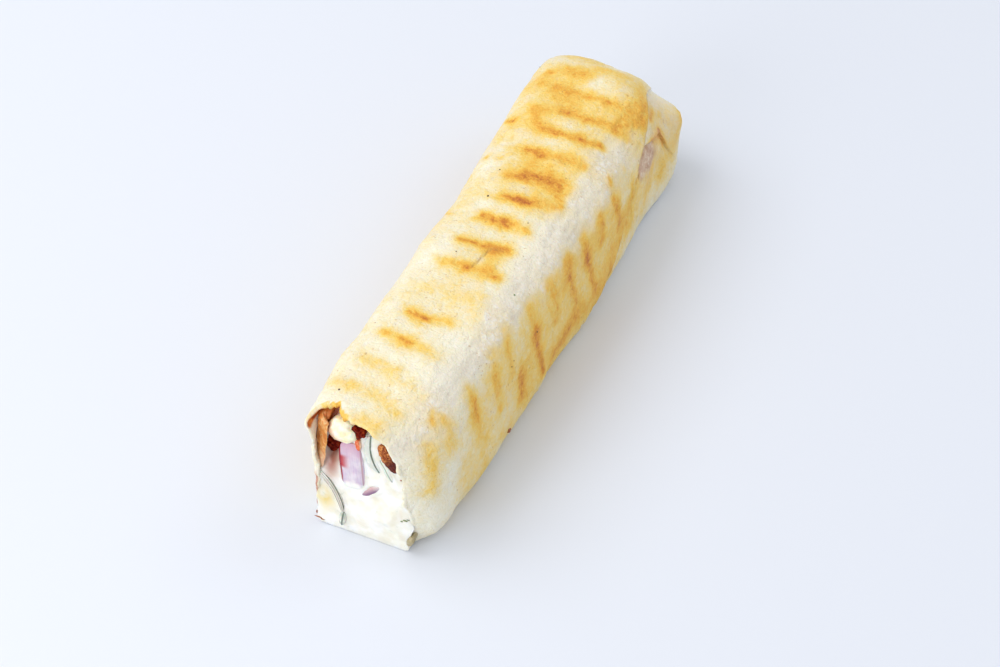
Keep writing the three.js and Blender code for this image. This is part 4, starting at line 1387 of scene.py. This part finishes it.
# %% White sauce
white = Finish(
    "white_sauce", Subsurface_Weight=0.5, Subsurface_Scale=0.003, Subsurface_Radius=(1.0, 0.85, 0.6)
)
clouds = white.noise(4.5)
cream = white.ramp(clouds, (0.32, 237, 233, 216), (0.48, 245, 243, 232), (0.62, 250, 250, 244))
oily = white.mix(0.95 * white.carried("oily") * clouds.step(0.2, 0.55), cream, (228, 202, 108))
# The juice and the fat stains also stand for painted shade of the recess and of the pocket
rosy = white.mix(0.95 * white.carried("rosy"), oily, (170, 100, 78))
fatty = white.mix(white.carried("fatty"), rosy, (204, 106, 32))
shreds = white.noise(2.6, distortion=0.6).step(0.62, 0.74)
white.look(white.mix(0.4 * shreds, fatty, (196, 204, 184)), clouds, 0.25)
white.feed("Roughness", 0.16 + 0.14 * clouds)
finish_piece(sauce, white.material, "white_sauce", "sauce")

# %% [markdown]
# Small specks make a crust look real: burnt crumbs on the bread, one larger scrap of spice low on the
# right side, and flecks of herb half sunk in the sauce. Each is a little flattened ball of five rings, and
# a whole stack of them is made in one call.

# %% Specks and flecks
BALL_RINGS = 5
BALL_SIDES = 8
# Distance, angle, half size in mm, and kind: 0 burnt, 0.5 spice, 1 herb
SPECKS = [
    (127.0, 117, 0.20, 0.0), (112.9, 113, 0.34, 0.0), (106.2, 74, 0.22, 0.0), (83.3, 108, 0.20, 0.0),
    (12.9, 122, 0.34, 0.0), (75.5, 20, 0.34, 0.0), (56.8, 22, 0.24, 0.0), (75.3, 54, 0.34, 1.0),
    (52.4, -32, 0.80, 0.5), (53.6, -33, 0.50, 0.5), (58.8, 24, 0.20, 0.5),
]
# Place across and up on the face, half width and half height in mm, and kind
FLECKS = [
    (31.8, 13.7, 0.80, 0.24, 1.0), (32.8, 14.5, 0.60, 0.22, 1.0), (30.6, 13.0, 0.40, 0.20, 1.0),
    (29.4, 28.6, 0.36, 0.26, 0.5), (1.3, 2.2, 1.30, 0.34, 0.5), (0.4, 3.4, 0.34, 0.80, 0.5),
    (2.9, 1.5, 0.70, 0.24, 0.5),
]


def balls(name, centres, sizes, kinds, seed):
    """Flattened balls: centre + size × (sin t cos u, sin t sin u, cos t), roughened by noise."""
    t = np.pi * np.linspace(0.1, 0.9, BALL_RINGS)[:, None]
    u = np.linspace(0, 2 * np.pi, BALL_SIDES, endpoint=False)
    ball = np.stack(np.broadcast_arrays(np.sin(t) * np.cos(u), np.sin(t) * np.sin(u), np.cos(t)), -1)
    grown = ball * sizes[:, None, None]
    rings = centres[:, None, None] + grown
    rings += grown * (0.5 * noise(rings, 0.6, seed))[..., None]
    return loft(name, rings, {"kind": kinds[:, None, None] + np.zeros(rings.shape[:3])})


print(len(SPECKS), "specks and", len(FLECKS), "flecks placed by hand")

# %% [markdown]
# Specks on the hidden sides are scattered by a seeded generator, so the back isn't barer than the front.
# Each one is lifted by the relief of the bread below it. A fleck sits on the nearest point of the sauce.

# %% Scattering and placing them
HIDDEN_SPECKS = 34
FLECK_DEPTH = 0.22

draw = np.random.default_rng(12)
hidden = np.stack([
    draw.uniform(8, 200, HIDDEN_SPECKS), draw.uniform(125, 280, HIDDEN_SPECKS),
    draw.uniform(0.16, 0.34, HIDDEN_SPECKS), draw.integers(0, 2, HIDDEN_SPECKS) / 2,
], -1)
speck_y, speck_angle, speck_size, speck_kind = np.concatenate([np.array(SPECKS), hidden]).T
lifted = bread_relief(speck_angle, roll_point(speck_angle, speck_y))
speck_centres = roll_point(speck_angle, speck_y, -lifted)
specks = balls("specks", speck_centres, speck_size[:, None] * [1, 1, 0.9], speck_kind, 301)

fleck_x, fleck_z, fleck_wide, fleck_high, fleck_kind = np.array(FLECKS).T
spots = sauce_face.reshape(-1, 3)
nearest = np.argmin((spots[:, :1] - fleck_x) ** 2 + (spots[:, 2:] - fleck_z) ** 2, 0)
fleck_sizes = np.stack([fleck_wide, 0 * fleck_wide + FLECK_DEPTH, fleck_high], -1)
flecks = balls("herb_flecks", spots[nearest], fleck_sizes, fleck_kind, 311)

spiced = Finish("specks", Roughness=0.5)
kinds = spiced.ramp(spiced.carried("kind"), (0.0, 92, 68, 48), (0.5, 158, 88, 50), (1.0, 124, 138, 92))
spiced.feed("Base Color", kinds)
finish_piece(specks, spiced.material, "toasted_bread", "flatbread")
finish_piece(flecks, spiced.material, "white_sauce", "sauce")

# %% [markdown]
# The scene around it is a product photograph. The floor is a plain pale square. It lies a tenth of a
# millimetre below the underside, because two surfaces in the same place flicker.

# %% Floor
FLOOR_HALF = 3.0
FLOOR_Z = -0.0001

corners = [(x * FLOOR_HALF, y * FLOOR_HALF, FLOOR_Z) for x, y in ((-1, -1), (1, -1), (1, 1), (-1, 1))]
floor_mesh = bpy.data.meshes.new("floor")
floor_mesh.from_pydata(corners, [], [(0, 1, 2, 3)])
floor = link_object("floor", floor_mesh)
floor_finish = Finish("pale_floor", Roughness=0.4, Base_Color=paint(224, 229, 240))
floor.data.materials.append(floor_finish.material)
print("floor:", 2 * FLOOR_HALF, "metres wide")

# %% [markdown]
# One large soft light stands high on the left, a weaker one in front, and a cool one behind on the right
# that keeps the far side from going grey. The white sky fills the rest.

# %% Lights
SKY_STRENGTH = 0.70


def softbox(name, place, target, size, watts, colour):
    """A square area light that faces a point."""
    lamp = bpy.data.lights.new(name, "AREA")
    lamp.size = size
    lamp.energy = watts
    lamp.color = colour
    made = link_object(name, lamp)
    made.location = place
    made.rotation_euler = (Vector(target) - Vector(place)).to_track_quat("-Z", "Y").to_euler()


softbox("key", (-0.7, -0.15, 1.0), (0, 0, 0.02), size=0.9, watts=6.0, colour=(1.0, 0.99, 0.97))
softbox("fill", (-0.35, -1.1, 0.4), (0, -0.05, 0.02), size=0.7, watts=4.8, colour=(1.0, 1.0, 1.0))
softbox("side", (0.7, 0.75, 1.15), (0, 0.03, 0), size=0.8, watts=2.5, colour=(0.90, 0.95, 1.0))
world = bpy.data.worlds.new("studio")
bpy.context.scene.world = world
world.use_nodes = True
sky = world.node_tree.nodes["Background"].inputs
sky["Color"].default_value = (1.0, 1.0, 1.0, 1.0)
sky["Strength"].default_value = SKY_STRENGTH
bpy.context.scene.view_settings.view_transform = "Standard"
print("lights:", len(bpy.data.lights))

# %% [markdown]
# The camera stands where the real one stood: 45 degrees up, 24 degrees to the right of the roll's axis,
# with a long lens, so that the far end looks hardly smaller than the mouth.

# %% Camera
LOOK_AT = Vector((0.00099, -0.00564, 0.0))
DISTANCE = 0.826
AZIMUTH = math.radians(24.5)
ELEVATION = math.radians(44.8)

level_direction = Vector((math.sin(AZIMUTH), -math.cos(AZIMUTH), 0)) * math.cos(ELEVATION)
to_camera = level_direction + Vector((0, 0, math.sin(ELEVATION)))
lens = bpy.data.cameras.new("camera")
lens.sensor_width = 36
lens.lens = 86.4
lens.clip_start = 0.01
camera = link_object("camera", lens)
camera.location = LOOK_AT + to_camera * DISTANCE
camera.rotation_euler = (-to_camera).to_track_quat("-Z", "Y").to_euler()
bpy.context.scene.camera = camera
print("camera at", [round(value, 3) for value in camera.location])
